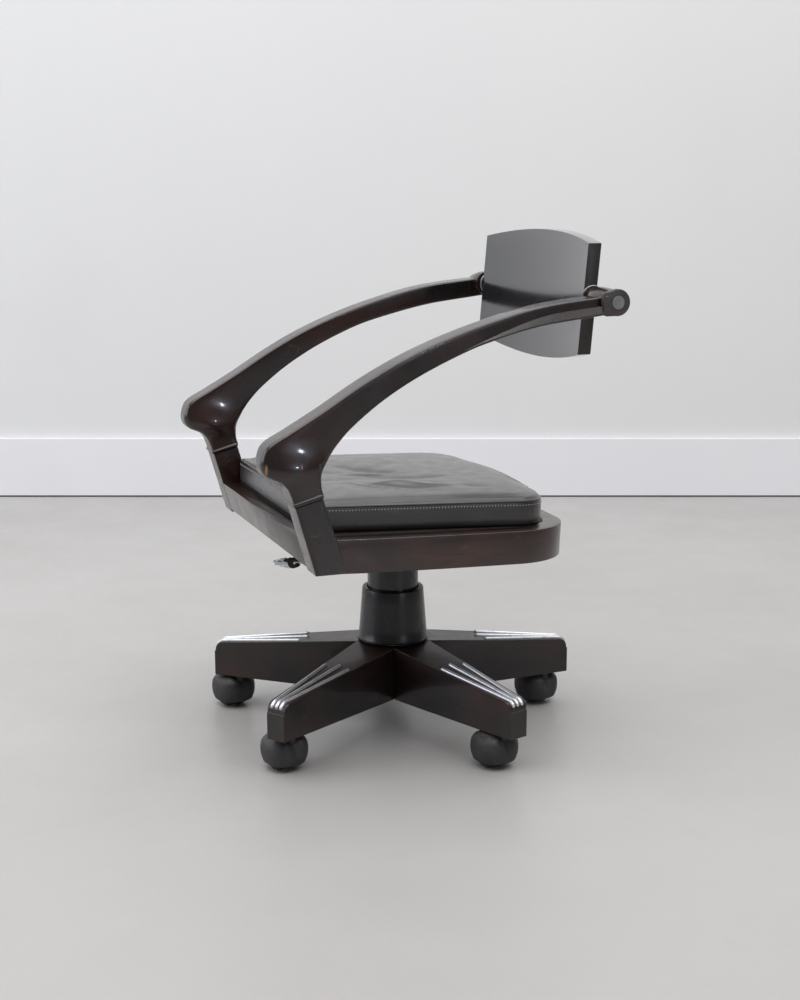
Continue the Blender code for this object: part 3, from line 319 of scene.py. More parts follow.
def add_node(tree: NodeTree, kind: str, inputs: dict | None = None, **settings: object) -> Node:
    """Adds a node with its settings and links.

    Args:
        tree: The node tree.
        kind: The node's type name.
        inputs: Values or output sockets by input name or number.
        settings: The node's own properties.

    Returns:
        The new node.
    """
    node = tree.nodes.new(kind)
    for name, value in settings.items():
        setattr(node, name, value)
    for key, value in (inputs or {}).items():
        if isinstance(value, NodeSocket):
            tree.links.new(value, node.inputs[key])
        else:
            node.inputs[key].default_value = value
    return node


class Recipe:
    """A material under construction: its tree, its shader and the steps that patterns share."""

    def __init__(self, name: str, roughness: float, metallic: float = 0.0) -> None:
        """Starts a named material.

        Args:
            name: The finish's name.
            roughness: The shader's roughness where nothing varies it.
            metallic: 1 for bare metal.
        """
        self.material = bpy.data.materials.new(name)
        self.material.use_nodes = True
        self.tree = self.material.node_tree
        self.shader = self.tree.nodes["Principled BSDF"]
        self.shader.inputs["Roughness"].default_value = roughness
        self.shader.inputs["Metallic"].default_value = metallic

    def add(self, kind: str, inputs: dict | None = None, **settings: object) -> Node:
        """Adds a node to this material."""
        return add_node(self.tree, kind, inputs, **settings)

    def place(self, turn: float = 0.0, source: GrainSource = GrainSource.OBJECT) -> NodeSocket:
        """The coordinates that the patterns read.

        Args:
            turn: Angle about Z by which the pattern's X follows the piece.
            source: The object's own coordinates, or the bent grain stored on its mesh.

        Returns:
            The vector socket.
        """
        if source is GrainSource.BENT:
            return self.add("ShaderNodeAttribute", attribute_name="grain").outputs["Vector"]
        where = self.add("ShaderNodeTexCoord").outputs["Object"]
        mapping = self.add("ShaderNodeMapping", {"Vector": where}, vector_type="TEXTURE")
        mapping.inputs["Rotation"].default_value = (0, 0, turn)
        return mapping.outputs["Vector"]

    def noise(
        self, where: NodeSocket, per_metre: float | Sequence[float], detail: float = 3.0, rough: float = 0.5
    ) -> NodeSocket:
        """Noise with a given number of features per metre.

        Args:
            where: The coordinates.
            per_metre: Features per metre, one number or one for each axis.
            detail: Octaves.
            rough: How strong the finer octaves are.

        Returns:
            The grey value socket.
        """
        scale = (per_metre,) * 3 if isinstance(per_metre, (int, float)) else tuple(per_metre)
        scaled = self.add("ShaderNodeVectorMath", {0: where, 1: scale}, operation="MULTIPLY")
        inputs = {"Vector": scaled.outputs[0], "Scale": 1.0, "Detail": detail, "Roughness": rough}
        return self.add("ShaderNodeTexNoise", inputs).outputs["Fac"]

    def band(
        self, value: NodeSocket, low: float, high: float, start: float = 0.0, end: float = 1.0
    ) -> NodeSocket:
        """The value mapped from one range to another and held inside it.

        Args:
            value: The grey value.
            low: Input that gives start.
            high: Input that gives end.
            start: Output at low.
            end: Output at high.

        Returns:
            The mapped value socket.
        """
        inputs = {"Value": value, "From Min": low, "From Max": high, "To Min": start, "To Max": end}
        return self.add("ShaderNodeMapRange", inputs, clamp=True).outputs["Result"]

    def about(self, value: NodeSocket, middle: float, less: float, more: float) -> NodeSocket:
        """A noise spread over the range from less below a middle value to more above it."""
        return self.band(value, 0.3, 0.7, middle - less, middle + more)

    def math(self, operation: str, a: Value, b: Value) -> NodeSocket:
        """Two values joined by one arithmetic step."""
        return self.add("ShaderNodeMath", {0: a, 1: b}, operation=operation).outputs[0]

    def mix(self, share: Value, first: Colour, second: Colour) -> NodeSocket:
        """Two colours mixed by a share, each given as a hex colour or a socket.

        Args:
            share: How much of the second shows.
            first: Hex colour or socket.
            second: Hex colour or socket.

        Returns:
            The mixed colour.
        """
        first = linear(first) if isinstance(first, str) else first
        second = linear(second) if isinstance(second, str) else second
        node = self.add("ShaderNodeMix", {0: share, 6: first, 7: second}, data_type="RGBA")
        return node.outputs[2]

    def finish(
        self,
        colour: NodeSocket | None = None,
        roughness: NodeSocket | None = None,
        bumps: Sequence[tuple[NodeSocket, float, float]] = (),
        **levels: float,
    ) -> Material:
        """Links the patterns to the shader.

        Args:
            colour: Colour socket.
            roughness: Roughness socket.
            bumps: (height socket, strength, depth in metres) for each relief, coarse ones first.
            levels: Uniform shader inputs, with spaces as underscores.

        Returns:
            The finished material.
        """
        if colour is not None:
            self.tree.links.new(colour, self.shader.inputs["Base Color"])
        if roughness is not None:
            self.tree.links.new(roughness, self.shader.inputs["Roughness"])
        normal = None
        for height, strength, depth in bumps:
            inputs = {"Height": height, "Strength": strength, "Distance": depth}
            if normal is not None:
                inputs["Normal"] = normal
            normal = self.add("ShaderNodeBump", inputs).outputs["Normal"]
        if normal is not None:
            self.tree.links.new(normal, self.shader.inputs["Normal"])
        for name, value in levels.items():
            self.shader.inputs[name.replace("_", " ")].default_value = value
        return self.material


@dataclass(frozen=True)
class EbonisedBeech:
    """Beech stained black-brown under a satin lacquer: dark, with a reddish cast where light rakes it."""

    name: str
    turn: float = 0.0
    source: GrainSource = GrainSource.OBJECT
    dark: str = "110d0c"
    warm: str = "2d1812"
    roughness: float = 0.36
    coat: float = 0.5
    scuffs: float = 0.5
    chips: tuple[tuple[float, float, float, float], ...] = ()
    rays: str = "080606"
    scratch: str = "a39c96"
    dust: str = "b8b2ac"
    bare: str = "93694f"

    def build(self) -> Material:
        """Makes the material: stain blotches, 2 mm grain lines, dust, hairline scratches and chips.

        Returns:
            The material.
        """
        kit = Recipe(self.name, self.roughness)
        where = kit.place(self.turn, self.source)
        blotch = kit.band(kit.noise(where, (7, 16, 16), 3), 0.35, 0.65)
        # Beech rays are 0.1 mm wide; they are drawn near 2 mm so that they show at all.
        lines = kit.noise(where, (14, 420, 420), 4, 0.6)
        colour = kit.mix(blotch, self.dark, self.warm)
        colour = kit.mix(kit.band(lines, 0.45, 0.75, 0, 0.55), colour, self.rays)
        colour = kit.mix(self.scratches(kit), colour, self.scratch)
        specks = kit.band(kit.noise(where, 600, 1), 0.80, 0.86, 0, 0.6 * self.scuffs)
        colour = kit.mix(specks, colour, self.dust)
        for x, y, z, size in self.chips:
            colour = self.chip(kit, colour, (x, y, z), size)
        rough = kit.about(kit.noise(where, 24, 3), self.roughness, 0.05, 0.07)
        bumps = ((lines, 0.03, 0.0003), (kit.noise(where, 60, 2), 0.03, 0.0005))
        return kit.finish(colour, rough, bumps, Coat_Weight=self.coat, Coat_Roughness=0.07)

    def scratches(self, kit: Recipe) -> NodeSocket:
        """Rare hairlines: wandering cell borders that show only in a few spots.

        Args:
            kit: The material under construction.

        Returns:
            The share of bright scratch at each place.
        """
        place = kit.add("ShaderNodeTexCoord").outputs["Object"]
        inputs = {"Vector": place, "Scale": 24.0, "Detail": 2.0}
        wander = kit.add("ShaderNodeTexNoise", inputs).outputs["Color"]
        inputs = {0: wander, 1: (0.03, 0.03, 0.03), 2: place}
        bent = kit.add("ShaderNodeVectorMath", inputs, operation="MULTIPLY_ADD")
        inputs = {"Vector": bent.outputs[0], "Scale": 19.0, "Randomness": 1.0}
        border = kit.add("ShaderNodeTexVoronoi", inputs, feature="DISTANCE_TO_EDGE").outputs["Distance"]
        # A scratch is 0.1 mm wide; 0.3 mm is drawn so that it still shows from a few metres.
        hair = kit.band(border, 0.0015, 0.0050, 0.40 * self.scuffs, 0)
        spots = kit.band(kit.noise(place, 31, 2), 0.62, 0.68)
        return kit.math("MULTIPLY", hair, spots)

    def chip(self, kit: Recipe, colour: NodeSocket, spot: Sequence[float], size: float) -> NodeSocket:
        """A spot where the lacquer is knocked off down to bare, orange-brown wood.

        Args:
            kit: The material under construction.
            colour: The colour so far.
            spot: The chip's place, in the frame.
            size: Its half length in metres.

        Returns:
            The colour with the chip.
        """
        place = kit.add("ShaderNodeTexCoord").outputs["Object"]
        gap = kit.add("ShaderNodeVectorMath", {0: place, 1: tuple(spot)}, operation="SUBTRACT")
        inputs = {0: gap.outputs[0], 1: (1.0, 5.5, 1.0)}
        narrow = kit.add("ShaderNodeVectorMath", inputs, operation="MULTIPLY")
        far = kit.add("ShaderNodeVectorMath", {0: narrow.outputs[0]}, operation="LENGTH").outputs["Value"]
        ragged = kit.math("MULTIPLY", kit.noise(place, 900, 2), size * 0.9)
        edge = kit.band(kit.math("ADD", far, ragged), size * 1.1, size * 1.5, 1, 0)
        return kit.mix(edge, colour, self.bare)


@dataclass(frozen=True)
class PigmentedLeather:
    """Dark brown-grey pigmented cowhide: a fine pebbled grain that catches light at a low angle."""

    name: str
    dark: str = "1d1a19"
    light: str = "2c2826"
    roughness: float = 0.38
    # The colour of the painted shade in the creases.
    crease: str = "141211"

    def build(self) -> Material:
        """Makes the material: colour drift, 1.6 mm pebbles, and fine creases with painted shade in them.

        Returns:
            The material.
        """
        kit = Recipe(self.name, self.roughness)
        where = kit.place()
        drift = kit.band(kit.noise(where, 10, 4), 0.3, 0.7)
        colour = kit.mix(drift, self.dark, self.light)
        inputs = {"Vector": where, "Scale": 620.0, "Smoothness": 0.6}
        cells = kit.add("ShaderNodeTexVoronoi", inputs, feature="SMOOTH_F1").outputs["Distance"]
        inputs = {"Vector": where, "Scale": 150.0}
        creases = kit.add("ShaderNodeTexVoronoi", inputs, feature="DISTANCE_TO_EDGE").outputs["Distance"]
        creases = kit.band(creases, 0.0, 0.10)
        # Painted shade: the leather darkens toward the crease colour along the creases.
        colour = kit.mix(kit.band(creases, 0, 1, 0.25, 0), colour, self.crease)
        rough = kit.about(kit.noise(where, 40, 3), self.roughness, 0.05, 0.08)
        soft = kit.noise(where, 45, 2)
        bumps = ((soft, 0.05, 0.0008), (creases, 0.05, 0.0003), (cells, 0.12, 0.0003))
        return kit.finish(colour, rough, bumps, Coat_Weight=0.8, Coat_Roughness=0.26, Sheen_Weight=0.03)


@dataclass(frozen=True)
class BlackLacquer:
    """Sprayed and polished black lacquer on moulded plywood: mirror-like, with a slight orange peel."""

    name: str
    shade: str = "1b1b1d"
    haze: str = "232224"
    worn: str = "2e2a27"
    worn_from: float = 0.1974
    worn_fully: float = 0.1978

    def build(self) -> Material:
        """Makes the material: a deep shade, orange peel, hairline swirls and dulled, rubbed ends.

        Returns:
            The material.
        """
        kit = Recipe(self.name, 0.14)
        where = kit.place()
        cloud = kit.band(kit.noise(where, 12, 4), 0.3, 0.7)
        colour = kit.mix(cloud, self.shade, self.haze)
        swirl = kit.noise(where, (30, 300, 1200), 2)
        rough = kit.band(swirl, 0.35, 0.75, 0.13, 0.24)
        across = kit.add("ShaderNodeSeparateXYZ", {0: where}).outputs["X"]
        ends = kit.band(kit.math("ABSOLUTE", across, 0.0), self.worn_from, self.worn_fully)
        colour = kit.mix(ends, colour, self.worn)
        rough = kit.math("MAXIMUM", rough, kit.math("MULTIPLY", ends, 0.42))
        peel = kit.noise(where, 260, 2)
        kit.tree.links.new(kit.math("SUBTRACT", 1.0, ends), kit.shader.inputs["Coat Weight"])
        return kit.finish(colour, rough, ((peel, 0.03, 0.0003),), Coat_Roughness=0.12, Coat_IOR=1.61)


@dataclass(frozen=True)
class BrushedMetal:
    """A drawn or brushed metal: fine lines along one direction stretch its highlights."""

    name: str
    shade: str
    roughness: float
    turn: float = 0.0
    line: str = "8f9296"
    mark: str = "85878a"

    def build(self) -> Material:
        """Makes the material: 0.3 mm brush lines drawn at 1 mm, and handling marks.

        Returns:
            The material.
        """
        kit = Recipe(self.name, self.roughness, 1.0)
        where = kit.place(self.turn)
        lines = kit.noise(where, (1000, 30, 1000), 3)
        marks = kit.band(kit.noise(where, 60, 4), 0.55, 0.75, 0, 0.5)
        base = kit.mix(kit.band(lines, 0.3, 0.7, 0, 0.35), self.shade, self.line)
        colour = kit.mix(marks, base, self.mark)
        rough = kit.about(lines, self.roughness, 0.06, 0.10)
        return kit.finish(colour, rough, ((lines, 0.06, 0.0002),))


@dataclass(frozen=True)
class MouldedPlastic:
    """Injection-moulded nylon with a spark-eroded texture: matt, with paler dust on its upper faces."""

    name: str
    shade: str
    roughness: float = 0.55
    dust: float = 0.30
    cloud: str = "4a4848"
    grey: str = "8d8983"

    def build(self) -> Material:
        """Makes the material: a 1 mm texture, cloudy tone and dust where the surface faces up.

        Returns:
            The material.
        """
        kit = Recipe(self.name, self.roughness)
        where = kit.place()
        tone = kit.band(kit.noise(where, 45, 4), 0.3, 0.7, 0, 0.35)
        colour = kit.mix(tone, self.shade, self.cloud)
        normal = kit.add("ShaderNodeNewGeometry").outputs["Normal"]
        up = kit.add("ShaderNodeSeparateXYZ", {0: normal}).outputs["Z"]
        patches = kit.band(kit.noise(where, 220, 3), 0.4, 0.7)
        settled = kit.math("MULTIPLY", kit.band(up, 0.4, 1.0), patches)
        colour = kit.mix(kit.math("MULTIPLY", settled, self.dust), colour, self.grey)
        texture = kit.noise(where, 900, 2)
        rough = kit.about(texture, self.roughness, 0.06, 0.08)
        return kit.finish(colour, rough, ((texture, 0.10, 0.0003),))


@dataclass(frozen=True)
class PowderCoat:
    """Baked powder paint on steel: an even satin film with a soft orange peel."""

    name: str
    shade: str = "101011"
    roughness: float = 0.30
    rubbed: str = "1b1b1c"
    dust: str = "77736f"

    def build(self) -> Material:
        """Makes the material: 2 mm orange peel, a little dust and rubbed patches.

        Returns:
            The material.
        """
        kit = Recipe(self.name, self.roughness)
        where = kit.place()
        specks = kit.band(kit.noise(where, 500, 2), 0.72, 0.82, 0, 0.25)
        tone = kit.mix(kit.band(kit.noise(where, 25, 4), 0.35, 0.7, 0, 0.4), self.shade, self.rubbed)
        colour = kit.mix(specks, tone, self.dust)
        peel = kit.noise(where, 480, 2)
        rough = kit.about(kit.noise(where, (30, 30, 12), 3), self.roughness, 0.07, 0.07)
        return kit.finish(colour, rough, ((peel, 0.08, 0.0003),))


@dataclass(frozen=True)
class BirchPlywood:
    """Birch plywood stained black: dull, with 1.4 mm plies at its edges and long figure on its face."""

    name: str
    dark: str = "161211"
    light: str = "241d19"
    ply: str = "352a22"
    two_plies: float = 0.0028

    def build(self) -> Material:
        """Makes the material: plies by height and figure along X, under a black stain.

        Returns:
            The material.
        """
        kit = Recipe(self.name, 0.65)
        where = kit.place()
        figure = kit.noise(where, (5, 70, 30), 4, 0.6)
        colour = kit.mix(kit.band(figure, 0.3, 0.7), self.dark, self.light)
        height = kit.add("ShaderNodeSeparateXYZ", {0: where}).outputs["Z"]
        plies = kit.math("SINE", kit.math("MULTIPLY", height, 2 * math.pi / self.two_plies), 0.0)
        colour = kit.mix(kit.band(plies, -0.2, 0.2, 0, 0.30), colour, self.ply)
        return kit.finish(colour, None, ((figure, 0.15, 0.0004),))


@dataclass(frozen=True)
class BondedThread:
    """Bonded polyester thread: tightly twisted, paler than the leather."""

    name: str
    dark: str = "8d8882"
    light: str = "b8b2aa"

    def build(self) -> Material:
        """Makes the material: a 0.5 mm twist in the thread.

        Returns:
            The material.
        """
        kit = Recipe(self.name, 0.55)
        where = kit.place()
        twist = kit.noise(where, 1800, 1)
        colour = kit.mix(kit.band(twist, 0.35, 0.65), self.dark, self.light)
        return kit.finish(colour, None, ((twist, 0.3, 0.0001),))


@dataclass(frozen=True)
class StagePaint:
    """Matt wall paint or floor paint of the room round the chair."""

    name: str
    shade: str
    marked: str
    roughness: float
    marks: float
    one_sided: bool = False

    def build(self) -> Material:
        """Makes the material: faint cloudiness and scuffs; a wall is seen through from behind.

        Returns:
            The material.
        """
        kit = Recipe(self.name, self.roughness)
        where = kit.place()
        cloud = kit.band(kit.noise(where, 1.2, 4), 0.35, 0.65, 0, self.marks)
        spots = kit.band(kit.noise(where, 14, 5, 0.65), 0.60, 0.75, 0, self.marks)
        colour = kit.mix(kit.math("MAXIMUM", cloud, spots), self.shade, self.marked)
        waves = kit.noise(where, 5, 6, 0.6)
        relief = kit.noise(where, 90, 3)
        rough = kit.band(waves, 0.35, 0.65, self.roughness - 0.08, self.roughness + 0.10)
        bumps = ((waves, 0.16 * self.marks, 0.03), (relief, 0.22 * self.marks, 0.0015))
        material = kit.finish(colour, rough, bumps, Specular_IOR_Level=0.4)
        if self.one_sided:
            back = kit.add("ShaderNodeNewGeometry").outputs["Backfacing"]
            clear = kit.add("ShaderNodeBsdfTransparent").outputs[0]
            both = kit.add("ShaderNodeMixShader", {0: back, 1: kit.shader.outputs[0], 2: clear})
            kit.tree.links.new(both.outputs[0], kit.tree.nodes["Material Output"].inputs["Surface"])
        return material


# Pieces on the frame


def linked(name: str, data: bpy.types.ID) -> Object:
    """A new object in the scene, with its data.

    Args:
        name: The object's name.
        data: Its mesh, lamp or camera data.

    Returns:
        The object.
    """
    item = bpy.data.objects.new(name, data)
    bpy.context.scene.collection.objects.link(item)
    return item


class Workshop:
    """Turns shapes into finished pieces and hangs them on the frame's bodies."""

    def __init__(self, frame: dict) -> None:
        """Keeps the frame.
        """
        self.nodes: dict[str, Object] = frame["nodes"]

    def mesh(self, name: str, shape: Shape, smooth: float) -> Object:
        """A mesh object in the frame's place, with its normals outward.

        Args:
            name: The object's name.
            shape: The shape, drawn about the swivel axis.
            smooth: Angle in degrees up to which edges are shaded smooth.

        Returns:
            The new object.
        """
        mesh = bpy.data.meshes.new(name)
        points = shape.points + (0, AXIS_Y, 0)
        mesh.from_pydata(points.tolist(), [], shape.faces)
        if shape.grain is not None:
            layer = mesh.attributes.new("grain", "FLOAT_VECTOR", "POINT")
            layer.data.foreach_set("vector", shape.grain.astype(np.float32).ravel())
        work = bmesh.new()
        work.from_mesh(mesh)
        bmesh.ops.remove_doubles(work, verts=work.verts, dist=1e-7)
        bmesh.ops.recalc_face_normals(work, faces=work.faces)
        work.to_mesh(mesh)
        work.free()
        mesh.shade_smooth()
        mesh.set_sharp_from_angle(angle=math.radians(smooth))
        return linked(name, mesh)

    def hang(
        self, item: Object, material: Material | None, body: str, slot: str, nodes: Sequence[str] = ()
    ) -> Object:
        """Gives a piece its material and body, and hides the nodes it stands for.

        Args:
            item: The piece.
            material: Its finish, or None where it has one.
            body: The body it rides on.
            slot: Not used.
            nodes: The frame's nodes that it replaces.

        Returns:
            The same piece.
        """
        if material is not None:
            item.data.materials.clear()
            item.data.materials.append(material)
        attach(item, body)
        if nodes:
            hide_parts(*nodes)
        return item

    def piece(
        self,
        name: str,
        shape: Shape,
        material: Material,
        body: str,
        slot: str,
        nodes: Sequence[str] = (),
        smooth: float = 35.0,
    ) -> Object:
        """Makes a finished piece from a shape.

        Args:
            name: The piece's name.
            shape: Its shape, drawn about the swivel axis.
            material: Its finish.
            body: The body it rides on.
            slot: Not used.
            nodes: The frame's nodes that it replaces.
            smooth: Angle in degrees up to which edges are shaded smooth.

        Returns:
            The piece.
        """
        return self.hang(self.mesh(name, shape, smooth), material, body, slot, nodes)

    def dress(self, node: str, material: Material) -> None:
        """Gives a node of the frame a finish.

        Args:
            node: The node's name.
            material: The finish.
        """
        mesh = self.nodes[node].data
        mesh.materials.clear()
        mesh.materials.append(material)

    def merged(
        self, node: str, name: str, material: Material, body: str, slot: str, smooth: float = 32.0
    ) -> Object:
        """A copy of a node with its triangles joined, so that its round faces shade smoothly.

        Args:
            node: The node to copy and stand for.
            name: The new piece's name.
            material: Its finish.
            body: The body it rides on.
            slot: Not used.
            smooth: Angle in degrees up to which edges are shaded smooth.

        Returns:
            The piece.
        """
        source = self.nodes[node].data
        points = np.array([v.co for v in source.vertices]) - (0, AXIS_Y, 0)
        faces = [tuple(polygon.vertices) for polygon in source.polygons]
        item = self.mesh(name, Shape(points, faces), smooth)
        return self.hang(item, material, body, slot, [node])


class NodeShape:
    """Runs a geometry node tree on a line of points and keeps the plain mesh."""

    def __init__(self, name: str) -> None:
        """Starts an empty tree with a geometry input and output.

        Args:
            name: The tree's name.
        """
        self.tree = bpy.data.node_groups.new(name, "GeometryNodeTree")
        self.sockets: dict[str, str] = {}
        self.tree.interface.new_socket("Geometry", in_out="INPUT", socket_type="NodeSocketGeometry")
        self.tree.interface.new_socket("Geometry", in_out="OUTPUT", socket_type="NodeSocketGeometry")
        self.start = add_node(self.tree, "NodeGroupInput")
        self.end = add_node(self.tree, "NodeGroupOutput")

    def size(self, name: str, kind: str, value: float | int | None = None) -> NodeSocket:
        """Adds a named input.

        Args:
            name: The input's name.
            kind: Float, Int or Material.
            value: Its usual value.

        Returns:
            The socket that gives it inside the tree.
        """
        socket = self.tree.interface.new_socket(name, in_out="INPUT", socket_type=f"NodeSocket{kind}")
        if value is not None:
            socket.default_value = value
        self.sockets[name] = socket.identifier
        return self.start.outputs[name]

    def add(self, kind: str, inputs: dict | None = None, **settings: object) -> Node:
        """Adds a node to this tree."""
        return add_node(self.tree, kind, inputs, **settings)

    def curve(self) -> NodeSocket:
        """The given line as a curve."""
        return self.add("GeometryNodeMeshToCurve", {0: self.start.outputs[0]}).outputs[0]

    def spots(self, mode: str, name: str, value: NodeSocket) -> Node:
        """Places along the given line.

        Args:
            mode: LENGTH or COUNT.
            name: The input that says how many: Length or Count.
            value: The socket for it.

        Returns:
            The node with the points and their rotations.
        """
        return self.add("GeometryNodeCurveToPoints", {"Curve": self.curve(), name: value}, mode=mode)

    def bar(
        self,
        line: NodeSocket,
        steps: int | NodeSocket,
        radius: NodeSocket,
        caps: bool,
        scale: NodeSocket | None = None,
    ) -> NodeSocket:
        """A round bar along a curve.

        Args:
            line: The curve.
            steps: Points round the bar.
            radius: Its radius.
            caps: Whether its ends are closed.
            scale: Share of the radius along the curve, or None.

        Returns:
            The bar's mesh.
        """
        ring = self.add("GeometryNodeCurvePrimitiveCircle", {"Resolution": steps, "Radius": radius})
        inputs = {"Curve": line, "Profile Curve": ring.outputs["Curve"], "Fill Caps": caps}
        if scale is not None:
            inputs["Scale"] = scale
        return self.add("GeometryNodeCurveToMesh", inputs).outputs[0]

    def set_on(self, spots: Node, instance: NodeSocket) -> NodeSocket:
        """Copies of a shape on the places along the line."""
        inputs = {name: spots.outputs[name] for name in ("Points", "Rotation")}
        return self.add("GeometryNodeInstanceOnPoints", {**inputs, "Instance": instance}).outputs[0]

    def smooth(self, geometry: NodeSocket) -> NodeSocket:
        """The geometry with smooth shading."""
        return self.add("GeometryNodeSetShadeSmooth", {0: geometry}).outputs[0]

    def close(self, geometry: NodeSocket, material: NodeSocket) -> None:
        """Ends the tree in Realize Instances and Set Material.

        Args:
            geometry: What the tree has made.
            material: The material socket.
        """
        real = self.add("GeometryNodeRealizeInstances", {0: geometry}).outputs[0]
        dressed = self.add("GeometryNodeSetMaterial", {"Geometry": real, "Material": material})
        self.tree.links.new(dressed.outputs[0], self.end.inputs[0])

    def run(
        self,
        name: str,
        points: np.ndarray,
        edges: list[tuple[int, int]],
        share: np.ndarray | None = None,
        **values: float | int | Material,
    ) -> Object:
        """Runs the tree on a line mesh.

        Args:
            name: The result's name.
            points: The line's points in the frame's place.
            edges: Pairs of point numbers.
            share: Share of the bar's radius at each point, or None.
            values: The tree's inputs.

        Returns:
            A plain mesh object at the origin.
        """
        mesh = bpy.data.meshes.new(name + "_line")
        mesh.from_pydata(points.tolist(), edges, [])
        if share is not None:
            layer = mesh.attributes.new("width", "FLOAT", "POINT")
            layer.data.foreach_set("value", np.asarray(share, np.float32))
        item = linked(name + "_line", mesh)
        modifier = item.modifiers.new("nodes", "NODES")
        modifier.node_group = self.tree
        for key, value in values.items():
            modifier[self.sockets[key]] = value
        graph = bpy.context.evaluated_depsgraph_get()
        made = bpy.data.meshes.new_from_object(item.evaluated_get(graph))
        made.name = name
        bpy.data.objects.remove(item)
        return linked(name, made)


def line_edges(count: int, closed: bool) -> list[tuple[int, int]]:
    """Edges that join points in a row, and the last to the first where it closes."""
    pairs = [(i, i + 1) for i in range(count - 1)]
    return pairs + ([(count - 1, 0)] if closed else [])


@cache
def round_bar_tree() -> NodeShape:
    """A tree that draws a round bar of a given radius along each line.

    Returns:
        The tree.
    """
    shape = NodeShape("Round bar along a line")
    radius = shape.size("Radius", "Float", 0.002)
    around = shape.size("Around", "Int", 12)
    material = shape.size("Material", "Material")
    width = shape.add("GeometryNodeInputNamedAttribute", {"Name": "width"}, data_type="FLOAT")
    bar = shape.bar(shape.curve(), around, radius, True, width.outputs[0])
    shape.close(shape.smooth(bar), material)
    return shape


def stitch_tree() -> NodeShape:
    """A tree that sets thread stitches along a line at an even pitch.

    Returns:
        The tree.
    """
    shape = NodeShape("Stitches along a seam")
    pitch = shape.size("Pitch", "Float", 0.004)
    length = shape.size("Stitch", "Float", 0.0028)
    thread = shape.size("Thread", "Float", 0.0004)
    material = shape.size("Material", "Material")
    whole = shape.add("ShaderNodeCombineXYZ", {"Z": length}).outputs[0]
    ends = {}
    for name, half in (("Start", -0.5), ("End", 0.5)):
        inputs = {0: whole, 1: (half, half, half)}
        ends[name] = shape.add("ShaderNodeVectorMath", inputs, operation="MULTIPLY").outputs[0]
    line = shape.add("GeometryNodeCurvePrimitiveLine", ends)
    finer = shape.add("GeometryNodeResampleCurve", {"Curve": line.outputs[0], "Count": 5})
    along = shape.add("GeometryNodeSplineParameter").outputs["Factor"]
    inputs = {"Value": along, "From Min": 0.0, "From Max": 1.0, "To Min": -1.0, "To Max": 1.0}
    spread = shape.add("ShaderNodeMapRange", inputs)
    square = shape.add("ShaderNodeMath", {0: spread.outputs[0], 1: 2.0}, operation="POWER")
    belly = shape.add("ShaderNodeMath", {0: 1.15, 1: square.outputs[0]}, operation="SUBTRACT")
    stitch = shape.bar(finer.outputs[0], 6, thread, True, belly.outputs[0])
    shape.close(shape.set_on(shape.spots("LENGTH", "Length", pitch), stitch), material)
    return shape


def rib_tree() -> NodeShape:
    """A tree that sets round ribs at even steps along a line.

    Returns:
        The tree.
    """
    shape = NodeShape("Ribs along a handle")
    count = shape.size("Count", "Int", 5)
    radius = shape.size("Radius", "Float", 0.007)
    rib = shape.size("Rib", "Float", 0.002)
    material = shape.size("Material", "Material")
    hoop = shape.add("GeometryNodeCurvePrimitiveCircle", {"Resolution": 24, "Radius": radius})
    ring = shape.bar(hoop.outputs["Curve"], 10, rib, False)
    rows = shape.set_on(shape.spots("COUNT", "Count", count), ring)
    shape.close(shape.smooth(rows), material)
    return shape


def drawn_bar(
    name: str,
    points: np.ndarray,
    share: np.ndarray,
    radius: float,
    around: int,
    material: Material,
    closed: bool,
) -> Object:
    """A round bar whose width varies along a line.

    Args:
        name: The piece's name.
        points: The line in the frame's place.
        share: Share of the radius at each point.
        radius: The full radius.
        around: Points round the bar.
        material: Its finish.
        closed: Whether the line closes.

    Returns:
        A plain mesh object.
    """
    values = {"Radius": radius, "Around": around, "Material": material}
    return round_bar_tree().run(name, points, line_edges(len(points), closed), share, **values)


# Base

# Each strip's offset from its leg's middle at the hub and at the tip, and the reach at which it starts.
STRIP_OFFSETS = {
    "left": (0.0232, 0.0086, 0.158),
    "middle": (0.0, 0.0, 0.150),
    "right": (-0.0232, -0.0086, 0.158),
}


